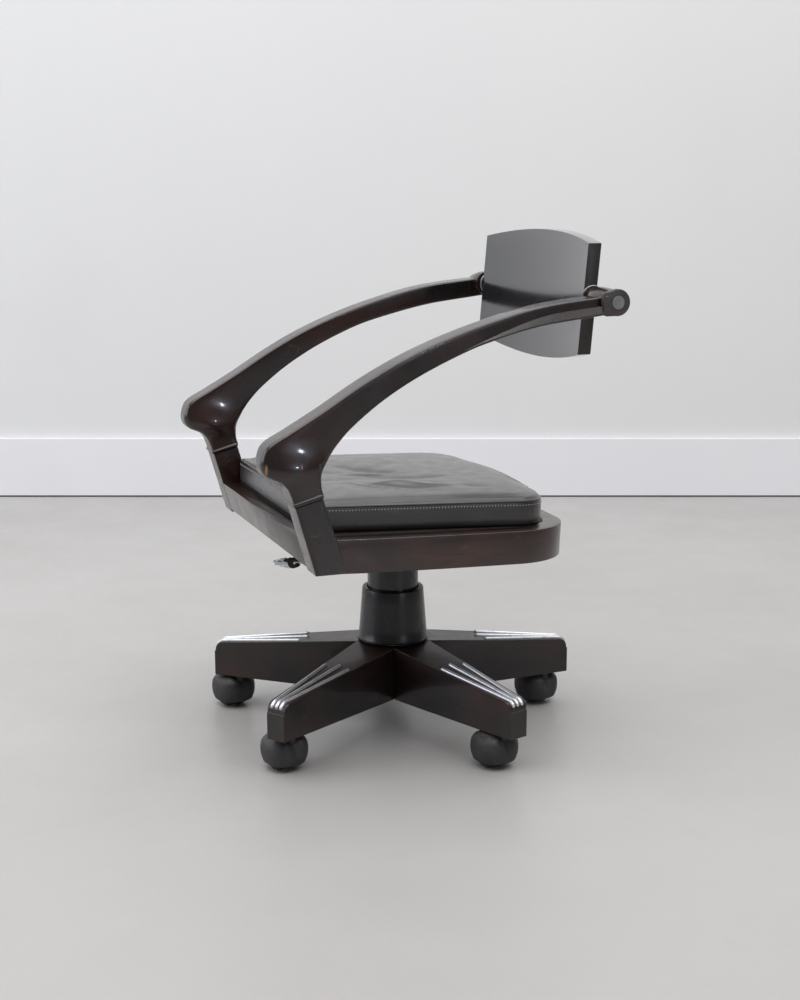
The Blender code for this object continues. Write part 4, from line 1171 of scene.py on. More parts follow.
@dataclass
class Base:
    """The five-legged star with its aluminium strips, hub and column."""

    turn: float = math.radians(-0.5)
    legs: int = 5
    reach: float = 0.320
    hub_width: float = 0.0772
    hub_top: float = 0.1488
    tip_top: float = 0.1186
    ledge: float = 0.1039
    ledge_depth: float = 0.0020
    tip_round: float = 0.0140
    strip_radius: float = 0.0031
    gap: float = 0.0003

    def heading(self, number: int) -> float:
        """Angle of a leg from the front, turning toward the sitter's left."""
        return math.pi / self.legs + self.turn + 2 * math.pi * number / self.legs

    def frame(self, number: int) -> Matrix:
        """Frame of a leg: x across it and y outward along it."""
        return turn_z(self.heading(number) - math.pi)

    def top(self, reach: float) -> float:
        """Height of a leg's upper face at a distance from the swivel axis.

        Args:
            reach: The distance.

        Returns:
            The height.
        """
        hub_reach = self.hub_width / 2 / math.tan(math.pi / self.legs)
        share = (reach - hub_reach) / (self.reach - hub_reach)
        return self.hub_top + (self.tip_top - self.hub_top) * share

    def strip_line(self, place: str) -> tuple[np.ndarray, np.ndarray]:
        """The centre line of a strip in its leg's frame, and its width share at each point.

        Args:
            place: left, middle or right.

        Returns:
            Points (across, reach, height), and shares of the full width that round its ends.
        """
        hub_offset, tip_offset, hub_reach = STRIP_OFFSETS[place]
        centre = self.reach - self.ledge_depth - self.tip_round
        low = self.top(centre) - self.tip_round
        lowest = math.asin(max(0.0, (self.ledge + 0.0070 - low) / self.tip_round))
        spots = []
        for angle in np.linspace(math.pi / 2, lowest, 14):
            spots.append((centre + self.tip_round * math.cos(angle), low + self.tip_round * math.sin(angle)))
        start = spots[0][0]
        points = []
        for t in np.linspace(0, 1, 24)[:-1]:
            reach = hub_reach + (start - hub_reach) * t
            points.append((hub_offset + (tip_offset - hub_offset) * t, reach, self.top(reach) + self.gap))
        points += [(tip_offset, reach, height + self.gap) for reach, height in spots]
        found = evenly(np.array(points), 90)
        length = np.linalg.norm(np.diff(found, axis=0), axis=1).sum()
        at = np.linspace(0, length, 90)
        near = np.minimum(at, length - at) / self.strip_radius
        return found, np.sqrt(np.clip(1 - np.clip(1 - near, 0, 1) ** 2, 0.02, 1))

    def build(self, shop: Workshop) -> None:
        """Makes and dresses every piece of the base.

        Args:
            shop: Where pieces are made.
        """
        looks = {"warm": "2e1812", "scuffs": 0.35, "roughness": 0.42, "coat": 0.25}
        for number in range(self.legs):
            leg = number + 1
            turn = self.heading(number) + math.pi / 2
            wood = EbonisedBeech(f"Ebonised beech, leg {leg}", turn - math.pi, **looks).build()
            shop.merged(f"leg_{leg}", f"dressed_leg_{leg}", wood, Body.BASE.value, "leg_wood")
            metal = BrushedMetal(f"Satin aluminium, leg {leg}", "f0f1f4", 0.42, turn).build()
            for place in STRIP_OFFSETS:
                self.strip(shop, number, place, metal)
            LOG.info("leg %d and its strips", leg)
        self.column(shop)

    def strip(self, shop: Workshop, number: int, place: str, metal: Material) -> None:
        """Makes one strip let into the top of a leg.

        Args:
            shop: Where pieces are made.
            number: The leg's number from 0.
            place: left, middle or right.
            metal: The strip's finish.
        """
        line, share = self.strip_line(place)
        points = Shape(line, []).placed(self.frame(number)).points + (0, AXIS_Y, 0)
        name = f"{number + 1}_{place}"
        item = drawn_bar(f"strip_bar_{name}", points, share, self.strip_radius, 14, metal, False)
        shop.hang(item, None, Body.BASE.value, "strip_aluminium", [f"strip_{name}"])

    def column(self, shop: Workshop) -> None:
        """Makes the column's cover and sleeve and dresses the steel inside.

        Args:
            shop: Where pieces are made.
        """
        paint = PowderCoat("Satin black powder coat").build()
        low, high, foot, rim, inner = 0.1512, 0.2400, 0.0601, 0.0515, 0.0442
        wall = foot - 0.0022
        profile = [(inner, low), (foot - 0.0006, low), (foot, low + 0.0006), (foot, low + 0.0022)]
        profile += [(foot - 0.0005, low + 0.0028), (wall + 0.0003, low + 0.0030), (wall, low + 0.0034)]
        for t in (0.25, 0.5, 0.75, 1):
            profile.append((rim + (wall - rim) * (1 - t), low + 0.0034 + (high - 0.0056 - low) * t))
        profile += [(rim - 0.0004, high - 0.0010), (rim - 0.0014, high), (inner, high)]
        cone = Shape.lathe(profile, 96)
        shop.piece("cone_cover", cone, paint, Body.BASE.value, "column_paint", ["column_cover"])
        upper = PowderCoat("Satin black sleeve paint", "171617", 0.28).build()
        shop.merged("lift_sleeve", "round_sleeve", upper, Body.SEAT.value, "column_paint")
        shop.dress("base_hub", BrushedMetal("Zinc-plated steel", "9a9da0", 0.42).build())
        shop.dress("base_tube", PowderCoat("Black tube paint", "1c1d1e", 0.40).build())
        shop.dress("piston_rod", BrushedMetal("Ground steel rod", "c3c6c9", 0.20).build())
        shop.dress("lift_cylinder", PowderCoat("Black lift cylinder paint", "17181a", 0.36).build())
        LOG.info("column")


# Castors


@dataclass
class Castors:
    """Five twin-wheel castors, each with a two-lobed hood."""

    reach: float = 0.2822
    heading: float = math.radians(107.4)
    hidden: int = 3
    hidden_turn: float = math.radians(60)
    trail: float = 0.0190
    wheel_radius: float = 0.0245
    wheel_inner: float = 0.0040
    wheel_outer: float = 0.0265
    rim: float = 0.0115
    top: float = 0.0592
    half_width: float = 0.0352
    half_length: float = 0.0362
    wall: float = 0.0022
    roof: float = 0.0070
    web: float = 0.0064
    dip: float = 0.0085
    dip_width: float = 0.0085
    widest: float = 0.032

    def frame(self, number: int, base: Base) -> Matrix:
        """Frame of a castor: x along its axle, y toward its trailing side, origin under its stem.

        Args:
            number: The castor's number from 0.
            base: The star that carries it.

        Returns:
            The castor's matrix.
        """
        spot = base.frame(number) @ Vector((0, self.reach, 0))
        heading = self.heading + (self.hidden_turn if number == self.hidden else 0.0)
        return Matrix.Translation(spot) @ turn_z(heading)

    def ring(
        self, half_width: float, half_length: float, height: float, valley: float, drop: float
    ) -> np.ndarray:
        """Rounded outline of the hood at one height, dipped along its middle.

        Args:
            half_width: Half the width along the axle.
            half_length: Half the length.
            height: The ring's height.
            valley: How deep the dip between the two lobes is.
            drop: Share of the dip that also lowers the ring.

        Returns:
            The ring's points.
        """
        count = 56
        angles = 2 * math.pi * (np.arange(count) + 0.5) / count
        c, s = np.cos(angles), np.sin(angles)
        x = np.sign(c) * np.abs(c) ** 0.8 * half_width
        y = np.sign(s) * np.abs(s) ** 0.8 * half_length + self.trail
        dip = valley * np.exp(-((x / self.dip_width) ** 2))
        pull = 1 - 0.85 * dip / self.half_length
        pulled = (y - self.trail) * pull + self.trail
        return np.stack([x, pulled, np.full(count, height) - dip * drop], axis=1)

    def swell(self, height: float) -> float:
        """Share of the full width that the hood has at a height.

        Args:
            height: The height above the floor.

        Returns:
            The share.
        """
        if height < self.widest:
            return 1 - 0.14 * ((self.widest - height) / (self.widest - self.rim)) ** 2
        rise = (height - self.widest) / (self.top - self.widest)
        return (1 - rise**3.2 * 0.92) ** 0.5

    def valley(self, share: float) -> float:
        """Depth of the dip between the hood's lobes, at a share of its height."""
        return self.dip * float(smooth_step(share, 0.10, 0.70))

    def hood(self) -> Shape:
        """The hood's shell, its middle web, the stem's boss and the axle.

        Returns:
            The four shells, in the castor's frame.
        """
        rings = []
        tall = self.top - self.rim
        for share in (0, 0.02, 0.10, 0.25, 0.40, 0.55, 0.68, 0.78, 0.86, 0.92, 0.965, 0.99, 1):
            height = self.rim + tall * share
            swell = self.swell(height)
            valley = self.valley(share) * (1 - 0.2 * float(smooth_step(share, 0.90, 1)))
            inset = 0.0007 if share == 0 else 0.0
            width, length = self.half_width * swell - inset, self.half_length * swell - inset
            rings.append(self.ring(width, length, height, valley, 0.5))
        inner = []
        for share in (0.02, 0.4, 0.7, 0.9, 1):
            height = self.rim + tall * share
            swell = self.swell(height)
            lowered = self.rim + (height - self.rim) * (tall - self.roof) / tall
            width, length = self.half_width * swell - self.wall, self.half_length * swell - self.wall
            inner.append(self.ring(width, length, lowered, self.valley(share), 0.0))
        shell = Shape.loft(rings[::-1] + inner)
        reach, shoulder, ridge = 0.6 * self.half_length, self.top - 0.014, self.top - 0.0025
        low = self.wheel_radius - 0.008
        side = [(-reach, shoulder), (-0.007, low), (0.007, low), (reach, shoulder)]
        side += [(reach, ridge), (-reach, ridge)]
        half = self.web / 2
        web = Shape.loft([np.array([(x, y + self.trail, z) for y, z in side]) for x in (-half, half)])
        bore, outside, foot, end = 0.0056, 0.0082, 0.0478, self.top - 0.001
        boss = Shape.lathe([(bore, foot), (outside, foot), (outside, end), (bore, end)], 24)
        thick, half = 0.0035, 0.024
        axle = Shape.lathe([(0, -half), (thick, -half), (thick, half), (0, half)], 20)
        return shell + web + boss + axle.placed(along_x((0, self.trail, self.wheel_radius)))

    def wheel(self) -> Shape:
        """One half-ball wheel, turned about Z, with a shallow tread line and a hub ring.

        Returns:
            The wheel.
        """
        r, face, end, bore, line = self.wheel_radius, self.wheel_inner, self.wheel_outer, 0.0038, 0.0006
        profile = [(bore, face), (r - 0.0030, face), (r - 0.0010, face + 0.0006), (r, face + 0.0030)]
        profile += [(r, face + 0.0060), (r - line, face + 0.0064), (r - line, face + 0.0072)]
        profile += [(r, face + 0.0076), (r, face + 0.0090), (r * 0.990, face + 0.0112)]
        profile += [(r * 0.955, face + 0.0140), (r * 0.89, face + 0.0170), (r * 0.80, end - 0.0032)]
        profile += [(r * 0.67, end - 0.0010), (r * 0.55, end), (r * 0.36, end), (r * 0.34, end - line)]
        profile += [(r * 0.30, end - line), (r * 0.28, end), (bore, end)]
        return Shape.lathe(profile, 48)

    def build(self, shop: Workshop, base: Base) -> None:
        """Makes every castor.

        Args:
            shop: Where pieces are made.
            base: The star that carries them.
        """
        hood_finish = MouldedPlastic("Charcoal moulded nylon", "282728").build()
        wheel_finish = MouldedPlastic("Dark nylon wheel", "1d1c1d", 0.50, 0.45).build()
        steel = BrushedMetal("Castor stem steel", "a9abae", 0.35).build()
        for number in range(base.legs):
            frame = self.frame(number, base)
            name = number + 1
            body, nodes = f"castor_{name}", [f"castor_hood_{name}"]
            hood = self.hood().placed(frame)
            shop.piece(f"lobed_hood_{name}", hood, hood_finish, body, "castor_plastic", nodes, 50)
            shop.dress(f"castor_stem_{name}", steel)
            for side in Side:
                end = f"{name}_{side.word}"
                place = frame @ Matrix.Translation((0, self.trail, self.wheel_radius))
                wheel = self.wheel().placed(place @ Matrix.Rotation(side.value * math.pi / 2, 4, "Y"))
                nodes = [f"castor_wheel_{end}"]
                shop.piece(f"tread_{end}", wheel, wheel_finish, f"wheel_{end}", "wheel_nylon", nodes, 40)
            LOG.info("castor %d", name)


# Seat frame


@dataclass
class SeatFrame:
    """The D-shaped hoop, the front rail and what hides under the cushion."""

    bottom: float = 0.3384
    top: float = 0.3906
    wood: float = 0.0300
    front_half: float = 0.2715
    rear_half: float = 0.2570
    front_y: float = -0.2185
    rear_y: float = 0.1200
    bow: float = 0.0030
    corner_half: float = 0.1600
    corner_y: float = 0.2265
    middle_y: float = 0.2300
    lean: float = 0.2890
    rail_front: float = -0.2183
    post_depth: float = 0.0478
    tilt: float = math.radians(2.4)
    tilt_y: float = -0.1870
    gap: float = 0.0003
    end_taper: float = 0.0013

    def tilted(self) -> Matrix:
        """Turns the level seat back and down about the line where it meets the arm posts."""
        centre = Matrix.Translation((0, self.tilt_y, self.top))
        return centre @ Matrix.Rotation(-self.tilt, 4, "X") @ centre.inverted()

    def front_plane(self, height: float) -> float:
        """Y of the leaning front face at a height."""
        return self.rail_front - self.lean * (height - self.bottom)

    def post_back(self, height: float) -> float:
        """Y of the arm post's back face at a height, as the tilted seat sees it."""
        back = self.front_plane(height) + self.post_depth + self.gap
        return back + math.tan(self.tilt) * (self.top - height)

    def outline(self) -> np.ndarray:
        """Half outline of the hoop's outside, from its front end to the middle of the back.

        Returns:
            (x, y) points.
        """
        start = (self.post_back(self.bottom) - self.front_y - 0.004) / (self.rear_y - self.front_y)
        points = []
        for t in np.linspace(start, 1, 20):
            x = self.front_half + (self.rear_half - self.front_half) * t + self.bow * math.sin(math.pi * t)
            x -= self.end_taper * (1 - float(smooth_step(t, start, start + 0.10)))
            points.append((x, self.front_y + (self.rear_y - self.front_y) * t))
        a, d = np.array((self.rear_half, self.rear_y)), np.array((self.corner_half, self.corner_y))
        b, c = a + (-0.0045, 0.052), d + (0.052, -0.0040)
        for t in np.linspace(0, 1, 40)[1:]:
            u = 1 - t
            points.append(tuple(a * u**3 + b * 3 * t * u**2 + c * 3 * t**2 * u + d * t**3))
        for t in np.linspace(0, 1, 12)[1:]:
            rise = (self.middle_y - self.corner_y) * (1 - (1 - t) ** 2)
            points.append((self.corner_half * (1 - t), self.corner_y + rise))
        return np.array(points)

    def hoop(self) -> Shape:
        """The hoop as a rounded section swept round its outline, cut along the posts' lean.

        Returns:
            The tilted hoop.
        """
        half = self.outline()
        path = np.vstack([half, (half * (-1, 1))[-2::-1]])
        steps = np.linalg.norm(np.diff(path, axis=0), axis=1)
        length = np.concatenate([[0], np.cumsum(steps)])
        section = rounded_box(0.0, self.wood, self.bottom, self.top, 0.0014)
        rings, grains = [], []
        for i, spot in enumerate(path):
            along = path[min(i + 1, len(path) - 1)] - path[max(i - 1, 0)]
            along = along / np.linalg.norm(along)
            inward = np.array((-along[1], along[0]))
            ring = np.array([(*(spot + inward * inset), height) for inset, height in section])
            if i in (0, len(path) - 1):
                ring[:, 1] = [self.post_back(height) for height in ring[:, 2]]
            rings.append(ring)
            grains.append(np.array([(length[i], inset, height) for inset, height in section]))
        return Shape.loft(rings, grains).placed(self.tilted())

    def build(self, shop: Workshop) -> None:
        """Makes the hoop and dresses the rail, board and plate.

        Args:
            shop: Where pieces are made.
        """
        looks = {"source": GrainSource.BENT, "scuffs": 0.7, "warm": "3f241b"}
        wood = EbonisedBeech("Ebonised beech, bent frame", **looks).build()
        shop.piece("bent_hoop", self.hoop(), wood, Body.SEAT.value, "frame_wood", ["seat_hoop"])
        rail = EbonisedBeech("Ebonised beech, front rail", scuffs=0.4).build()
        shop.merged("front_rail", "leaning_rail", rail, Body.SEAT.value, "frame_wood", 25)
        shop.dress("seat_board", BirchPlywood("Stained birch plywood").build())
        shop.dress("seat_plate", PowderCoat("Black pressed steel", "1b1b1d", 0.50).build())
        LOG.info("seat frame")


# Cushion

# Where the crown's rings run, as shares of the way from the cushion's middle to its seam.
CROWN_SHARES = (0.982, 0.970, 0.955, 0.935, 0.91, 0.88, 0.84, 0.79, 0.73, 0.66, 0.57, 0.46, 0.34, 0.22, 0.10)
# Blender's cloth settings for stiff leather over foam; the pressure is the filling.
LEATHER_CLOTH = {
    "quality": 6,
    "mass": 0.4,
    "tension_stiffness": 18,
    "compression_stiffness": 18,
    "shear_stiffness": 8,
    "bending_stiffness": 1.2,
    "use_pressure": True,
    "uniform_pressure_force": 4.0,
}


@dataclass
class Cushion:
    """The leather box cushion: crowned top, drawn-in sides, welted seam and creased middle."""

    seat: SeatFrame
    bottom: float = 0.3909
    side: float = 0.0391
    crown: float = 0.0132
    front_y: float = -0.2080
    half: float = 0.2238
    splay: float = 0.0050
    back_y: float = 0.1850
    back_radius: float = 0.0650
    front_radius: float = 0.0160
    draw_in: float = 0.0016
    centre_y: float = 0.0600
    puff: float = 0.0010
    voxel: float = 0.0042
    most_move: float = 0.0018
    dish: float = 0.0035
    groove: float = 0.0016
    groove_inset: float = 0.0052
    groove_width: float = 0.0016

    @property
    def seam(self) -> float:
        """Height of the welted seam before the seat's tilt."""
        return self.bottom + self.side

    def half_outline(self) -> np.ndarray:
        """Half outline at the seam, from the middle of the front to the middle of the back.

        Returns:
            (x, y) points.
        """
        r, big = self.front_radius, self.back_radius
        points = [(0.0, self.front_y), (self.half * 0.5, self.front_y)]
        for angle in np.linspace(0, math.pi / 2, 8):
            points.append((self.half - r + r * math.sin(angle), self.front_y + r - r * math.cos(angle)))
        start, end_y = self.front_y + r, self.back_y - big
        end_x = self.half + self.splay * (end_y - start)
        for t in np.linspace(0, 1, 16)[1:]:
            points.append((self.half + (end_x - self.half) * t, start + (end_y - start) * t))
        for angle in np.linspace(0, math.pi / 2, 22)[1:]:
            swell = 0.0035 * math.sin(2 * angle)
            x, y = end_x - big + big * math.cos(angle), end_y + big * math.sin(angle)
            points.append((x + swell, y + swell))
        points.append(((end_x - big) * 0.5, self.back_y + 0.0015))
        points.append((0.0, self.back_y + 0.002))
        found = np.array(points)
        middle, reach = (self.front_y + self.back_y) / 2, (self.back_y - self.front_y) / 2
        along = np.clip(1 - ((found[:, 1] - middle) / reach) ** 2, 0, 1)
        found[:, 0] *= 1 - self.draw_in / self.half * along
        return found

    def outline(self, count: int, inset: float = 0.0) -> np.ndarray:
        """The closed outline, evenly spaced.

        Args:
            count: How many points.
            inset: How far inside the seam it runs.

        Returns:
            (x, y) points, counter-clockwise from the middle of the front.
        """
        half = self.half_outline()
        closed = np.vstack([half, (half * (-1, 1))[-2::-1]])
        ring = evenly(closed, count + 1)[:-1]
        along = np.roll(ring, -1, axis=0) - np.roll(ring, 1, axis=0)
        along /= np.linalg.norm(along, axis=1)[:, None]
        return ring + np.stack([-along[:, 1], along[:, 0]], axis=1) * inset

    def level_rings(self, count: int, puff: float) -> list[np.ndarray]:
        """Rings of the level cushion from its underside to the middle of its crown.

        Args:
            count: Points per ring.
            puff: How far the faces between seams are held back, for the filling to push out.

        Returns:
            The rings.
        """
        low, seam, lip = self.bottom, self.seam, self.seam + 0.0022
        rows = [(0.0060, low), (0.0034, low), (0.0018, low + 0.0016)]
        for share in (0.15, 0.3, 0.45, 0.6, 0.75, 0.88):
            inset = 0.0010 - 0.0022 * math.sin(math.pi * share) + puff * math.sin(math.pi * share)
            rows.append((inset, low + self.side * share))
        rows += [(0.0013, seam - 0.0012), (0.0017, seam), (0.0026, lip)]
        rings = [self.raised(self.outline(count, inset), height) for inset, height in rows]
        for share in CROWN_SHARES:
            rise = self.crown * (1 - share**2.4) ** 0.40
            held = puff * float(smooth_step(share, 1.0, 0.80))
            rings.append(self.raised(self.crown_outline(count, share), lip + rise - held))
        return rings

    def raised(self, ring: np.ndarray, height: float) -> np.ndarray:
        """A flat ring at a height."""
        return np.column_stack([ring, np.full(len(ring), height)])

    def crown_outline(self, count: int, share: float) -> np.ndarray:
        """The outline drawn toward the cushion's middle, where it turns into an ellipse.

        Args:
            count: Points in the outline.
            share: 1 at the seam and 0 in the middle.

        Returns:
            (x, y) points.
        """
        ring = self.outline(count) - (0, self.centre_y)
        length = (self.back_y - self.front_y) / 2
        angle = np.arctan2(ring[:, 1] / length, ring[:, 0] / self.half)
        oval = np.stack([self.half * np.cos(angle), length * np.sin(angle)], axis=1)
        blend = (1 - share) ** 0.5
        return (ring + (oval - ring) * blend) * share + (0, self.centre_y)

    def filled(self, shop: Workshop) -> Object:
        """The cushion's cover, swollen by its filling in a short cloth simulation.

        Args:
            shop: Where pieces are made.

        Returns:
            The plain mesh object.
        """
        shape = Shape.loft(self.level_rings(120, self.puff))
        item = shop.mesh("leather_cushion", shape, 60)
        remesh = item.modifiers.new("voxels", "REMESH")
        remesh.mode = "VOXEL"
        remesh.voxel_size = self.voxel
        remesh.use_smooth_shade = True
        self.apply(item)
        rest = self.points_of(item)
        self.swell(item, rest)
        smooth = item.modifiers.new("finer", "SUBSURF")
        smooth.levels = smooth.render_levels = 1
        self.apply(item)
        return item

    def swell(self, item: Object, rest: np.ndarray) -> None:
        """Runs the cloth and keeps each point within its reach; seams and underside stay put.

        Args:
            item: The remeshed cover.
            rest: Its points before the simulation.
        """
        held = item.vertex_groups.new(name="held")
        pinned = np.nonzero(rest[:, 2] < self.bottom + 0.002)[0]
        held.add([int(i) for i in pinned], 1.0, "REPLACE")
        cloth = item.modifiers.new("filling", "CLOTH")
        settings = cloth.settings
        for name, value in LEATHER_CLOTH.items():
            setattr(settings, name, value)
        settings.vertex_group_mass = held.name
        settings.effector_weights.gravity = 0
        cloth.collision_settings.use_collision = False
        scene = bpy.context.scene
        for frame in range(1, 21):
            scene.frame_set(frame)
        graph = bpy.context.evaluated_depsgraph_get()
        blown = bpy.data.meshes.new_from_object(item.evaluated_get(graph))
        moved = np.empty(len(blown.vertices) * 3)
        blown.vertices.foreach_get("co", moved)
        bpy.data.meshes.remove(blown)
        item.modifiers.remove(cloth)
        scene.frame_set(1)
        normals = np.array([vertex.normal[:] for vertex in item.data.vertices])
        outward = np.maximum(((moved.reshape(-1, 3) - rest) * normals).sum(axis=1), 0)
        size = self.eased(item.data, self.most_move * np.tanh(outward / self.most_move)[:, None])
        move = normals * size
        near_seam = np.abs(rest[:, 2] - self.seam) < 0.012
        rim = self.rim_share(rest)
        keep = np.where(near_seam, smooth_step(np.abs(rest[:, 2] - self.seam), 0.003, 0.012), 1.0)
        keep = np.where(rim > 0.5, keep, 1.0)
        move *= (keep * smooth_step(rest[:, 2], self.bottom + 0.002, self.bottom + 0.010))[:, None]
        item.data.vertices.foreach_set("co", (rest + move).ravel())
        item.data.update()

    def eased(self, mesh: Mesh, move: np.ndarray) -> np.ndarray:
        """The simulated moves averaged with their neighbours' a few times, so that no ripple stays.

        Args:
            mesh: The cover's mesh.
            move: One row per point.

        Returns:
            The eased moves.
        """
        pairs = np.empty(len(mesh.edges) * 2, int)
        mesh.edges.foreach_get("vertices", pairs)
        pairs = pairs.reshape(-1, 2)
        count = np.bincount(pairs.ravel(), minlength=len(move))[:, None]
        for _ in range(14):
            total = np.zeros_like(move)
            np.add.at(total, pairs[:, 0], move[pairs[:, 1]])
            np.add.at(total, pairs[:, 1], move[pairs[:, 0]])
            move = 0.4 * move + 0.6 * total / count
        return move

    def rim_share(self, points: np.ndarray) -> np.ndarray:
        """1 near the cushion's outline and 0 well inside it, for each point in the frame's place."""
        return 1 - smooth_step(self.from_outline(points, 240), 0.010, 0.030)

    def from_outline(self, points: np.ndarray, count: int) -> np.ndarray:
        """Level distance of each point from the cushion's outline.

        Args:
            points: Rows in the frame's place.
            count: Points that stand for the outline.

        Returns:
            One distance for each row.
        """
        ring = self.outline(count) + (0, AXIS_Y)
        found = np.empty(len(points))
        # A few thousand points at a time keep the distance table small.
        step = 4000
        for start in range(0, len(points), step):
            part = points[start : start + step, None, :2] - ring[None]
            found[start : start + step] = np.linalg.norm(part, axis=2).min(axis=1)
        return found

    def points_of(self, item: Object) -> np.ndarray:
        """The mesh's points, one row each.

        Args:
            item: The object.

        Returns:
            The rows.
        """
        points = np.empty(len(item.data.vertices) * 3)
        item.data.vertices.foreach_get("co", points)
        return points.reshape(-1, 3)

    def apply(self, item: Object) -> None:
        """Replaces the mesh with what its modifiers make of it.

        Args:
            item: The object.
        """
        graph = bpy.context.evaluated_depsgraph_get()
        made = bpy.data.meshes.new_from_object(item.evaluated_get(graph))
        old = item.data
        item.modifiers.clear()
        item.data = made
        bpy.data.meshes.remove(old)

    def crease(self, item: Object) -> None:
        """Presses a shallow dish, the sitter's folds and the groove along the seam into the cover.

        Args:
            item: The filled cover.
        """
        points = self.points_of(item)
        level = points - (0, AXIS_Y, 0)
        upper = smooth_step(level[:, 2], self.seam + 0.008, self.seam + 0.016)
        far = self.from_outline(points, 480)
        from_dish = ((level[:, 0] - 0.055) / 0.075) ** 2 + ((level[:, 1] + 0.045) / 0.070) ** 2
        drop = self.dish * np.exp(-from_dish)
        for line, depth, width in FOLDS:
            drop += depth * fold_share(level[:, :2], np.array(line), width)
        points[:, 2] -= drop * upper
        above = smooth_step(level[:, 2], self.seam - 0.001, self.seam + 0.002)
        in_groove = np.exp(-(((far - self.groove_inset) / self.groove_width) ** 2))
        points[:, 2] -= self.groove * in_groove * above
        item.data.vertices.foreach_set("co", points.ravel())
        item.data.update()

    def seam_line(self, count: int, inset: float, height: float) -> np.ndarray:
        """A closed line round the cushion in the frame's place, with the seat's tilt.

        Args:
            count: How many points.
            inset: How far inside the seam it runs.
            height: Height above the seam.

        Returns:
            The line's points.
        """
        ring = self.raised(self.outline(count, inset), self.seam + height)
        return Shape(ring, []).placed(self.seat.tilted()).points + (0, AXIS_Y, 0)

    def build(self, shop: Workshop) -> None:
        """Makes the cover, its welt and its stitches.

        Args:
            shop: Where pieces are made.
        """
        leather = PigmentedLeather("Dark pigmented leather").build()
        cover = self.filled(shop)
        self.crease(cover)
        turn = Matrix.Translation((0, AXIS_Y, 0)) @ self.seat.tilted() @ Matrix.Translation((0, -AXIS_Y, 0))
        cover.data.transform(turn)
        cover.data.shade_smooth()
        shop.hang(cover, leather, Body.SEAT.value, "cushion_leather", ["seat_cushion"])
        LOG.info("cushion cover: %d faces", len(cover.data.polygons))
        welt = self.seam_line(360, 0.0022, 0.0006)
        item = drawn_bar("cushion_welt", welt, np.ones(len(welt)), 0.0017, 12, leather, True)
        shop.hang(item, None, Body.SEAT.value, "cushion_leather")
        self.stitches(shop, cover)

    def stitches(self, shop: Workshop, cover: Object) -> None:
        """Sews a row of stitches just under the welt, on the cover's own surface, over a thin dark bar of
        painted shadow.

        Args:
            shop: Where pieces are made.
            cover: The finished cover.
        """
        line = self.seam_line(720, -0.012, -0.0052)
        middle = np.array((0, self.centre_y + AXIS_Y, self.seam))
        tree = BVHTree.FromObject(cover, bpy.context.evaluated_depsgraph_get())
        found = []
        for spot in line:
            inward = Vector((middle[0] - spot[0], middle[1] - spot[1], 0)).normalized()
            near, normal, _, _ = tree.find_nearest(Vector(spot) + inward * 0.012)
            if near is not None:
                found.append(near + normal * 0.0002)
        points = evenly(np.array([*found, found[0]]), len(found) + 1)[:-1]
        thread = BondedThread("Bonded thread").build()
        edges = line_edges(len(points), True)
        sizes = {"Pitch": 0.0052, "Stitch": 0.0026, "Thread": 0.0010}
        item = stitch_tree().run("cushion_stitches", points, edges, Material=thread, **sizes)
        shop.hang(item, None, Body.SEAT.value, "cushion_leather")
        # Painted shadow: a thin near-black bar runs under the stitches, so the row reads dark between them.
        shadow = PigmentedLeather("Creased leather in the stitch row", "080707", "0e0c0c", 0.80).build()
        groove = drawn_bar("stitch_row", points, np.ones(len(points)), 0.0007, 6, shadow, True)
        shop.hang(groove, None, Body.SEAT.value, "cushion_leather")
        LOG.info("stitches: %d faces", len(item.data.polygons))


# Each fold's line over the crown, its depth, with a minus for a raised one, and its half width.
FOLDS: tuple[tuple[tuple[tuple[float, float], ...], float, float], ...] = (
    (((-0.060, -0.085), (-0.030, -0.060), (0.000, -0.030), (0.018, 0.002)), 0.0045, 0.0180),
    (((0.010, -0.112), (0.019, -0.074), (0.024, -0.036), (0.016, 0.009)), -0.0024, 0.00825),
    (((0.096, -0.075), (0.085, -0.024), (0.126, 0.009), (0.136, 0.060)), -0.0027, 0.0090),
    (((0.105, -0.080), (0.118, -0.050), (0.143, -0.021), (0.149, 0.020)), 0.0054, 0.0150),
    (
        ((0.073, -0.134), (0.095, -0.101), (0.118, -0.089), (0.162, -0.019), (0.158, 0.020)),
        -0.0021,
        0.0075,
    ),
    (((0.040, -0.060), (0.060, -0.020), (0.070, 0.030), (0.065, 0.070)), 0.0024, 0.0135),
    (((-0.020, -0.030), (-0.060, 0.010), (-0.090, 0.030)), 0.0021, 0.0135),
    (((-0.010, -0.060), (-0.060, -0.050), (-0.110, -0.030)), 0.00195, 0.0120),
    (((0.020, -0.080), (0.000, -0.120), (-0.030, -0.150)), 0.0018, 0.0120),
    (((0.060, -0.090), (0.065, -0.130), (0.055, -0.165)), 0.00165, 0.0120),
    (((0.130, 0.050), (0.150, 0.080), (0.155, 0.110)), 0.0015, 0.0120),
)


def fold_share(places: np.ndarray, line: np.ndarray, width: float) -> np.ndarray:
    """How strongly a fold along a line acts at each place, fading toward its ends.

    Args:
        places: (x, y) rows.
        line: The fold's points.
        width: Its half width in metres.

    Returns:
        Shares from 0 to 1.
    """
    curve = spline(line, 24)
    far = np.full(len(places), 9.0)
    best = np.zeros(len(places))
    for i, spot in enumerate(curve):
        gap = np.linalg.norm(places - spot, axis=1)
        nearer = gap < far
        far[nearer] = gap[nearer]
        best[nearer] = i / 23
    taper = np.sin(math.pi * np.clip(best * 0.92 + 0.04, 0, 1)) ** 0.7
    return np.exp(-((far / (width * (0.6 + 0.4 * taper))) ** 2)) * taper


# Arms

# The bare spots on the sitter's left knuckle: place in the frame, and half length.
KNUCKLE_CHIPS = ((0.2745, -0.2913 + AXIS_Y, 0.4995, 0.0115), (0.2775, -0.2399 + AXIS_Y, 0.5040, 0.0046))


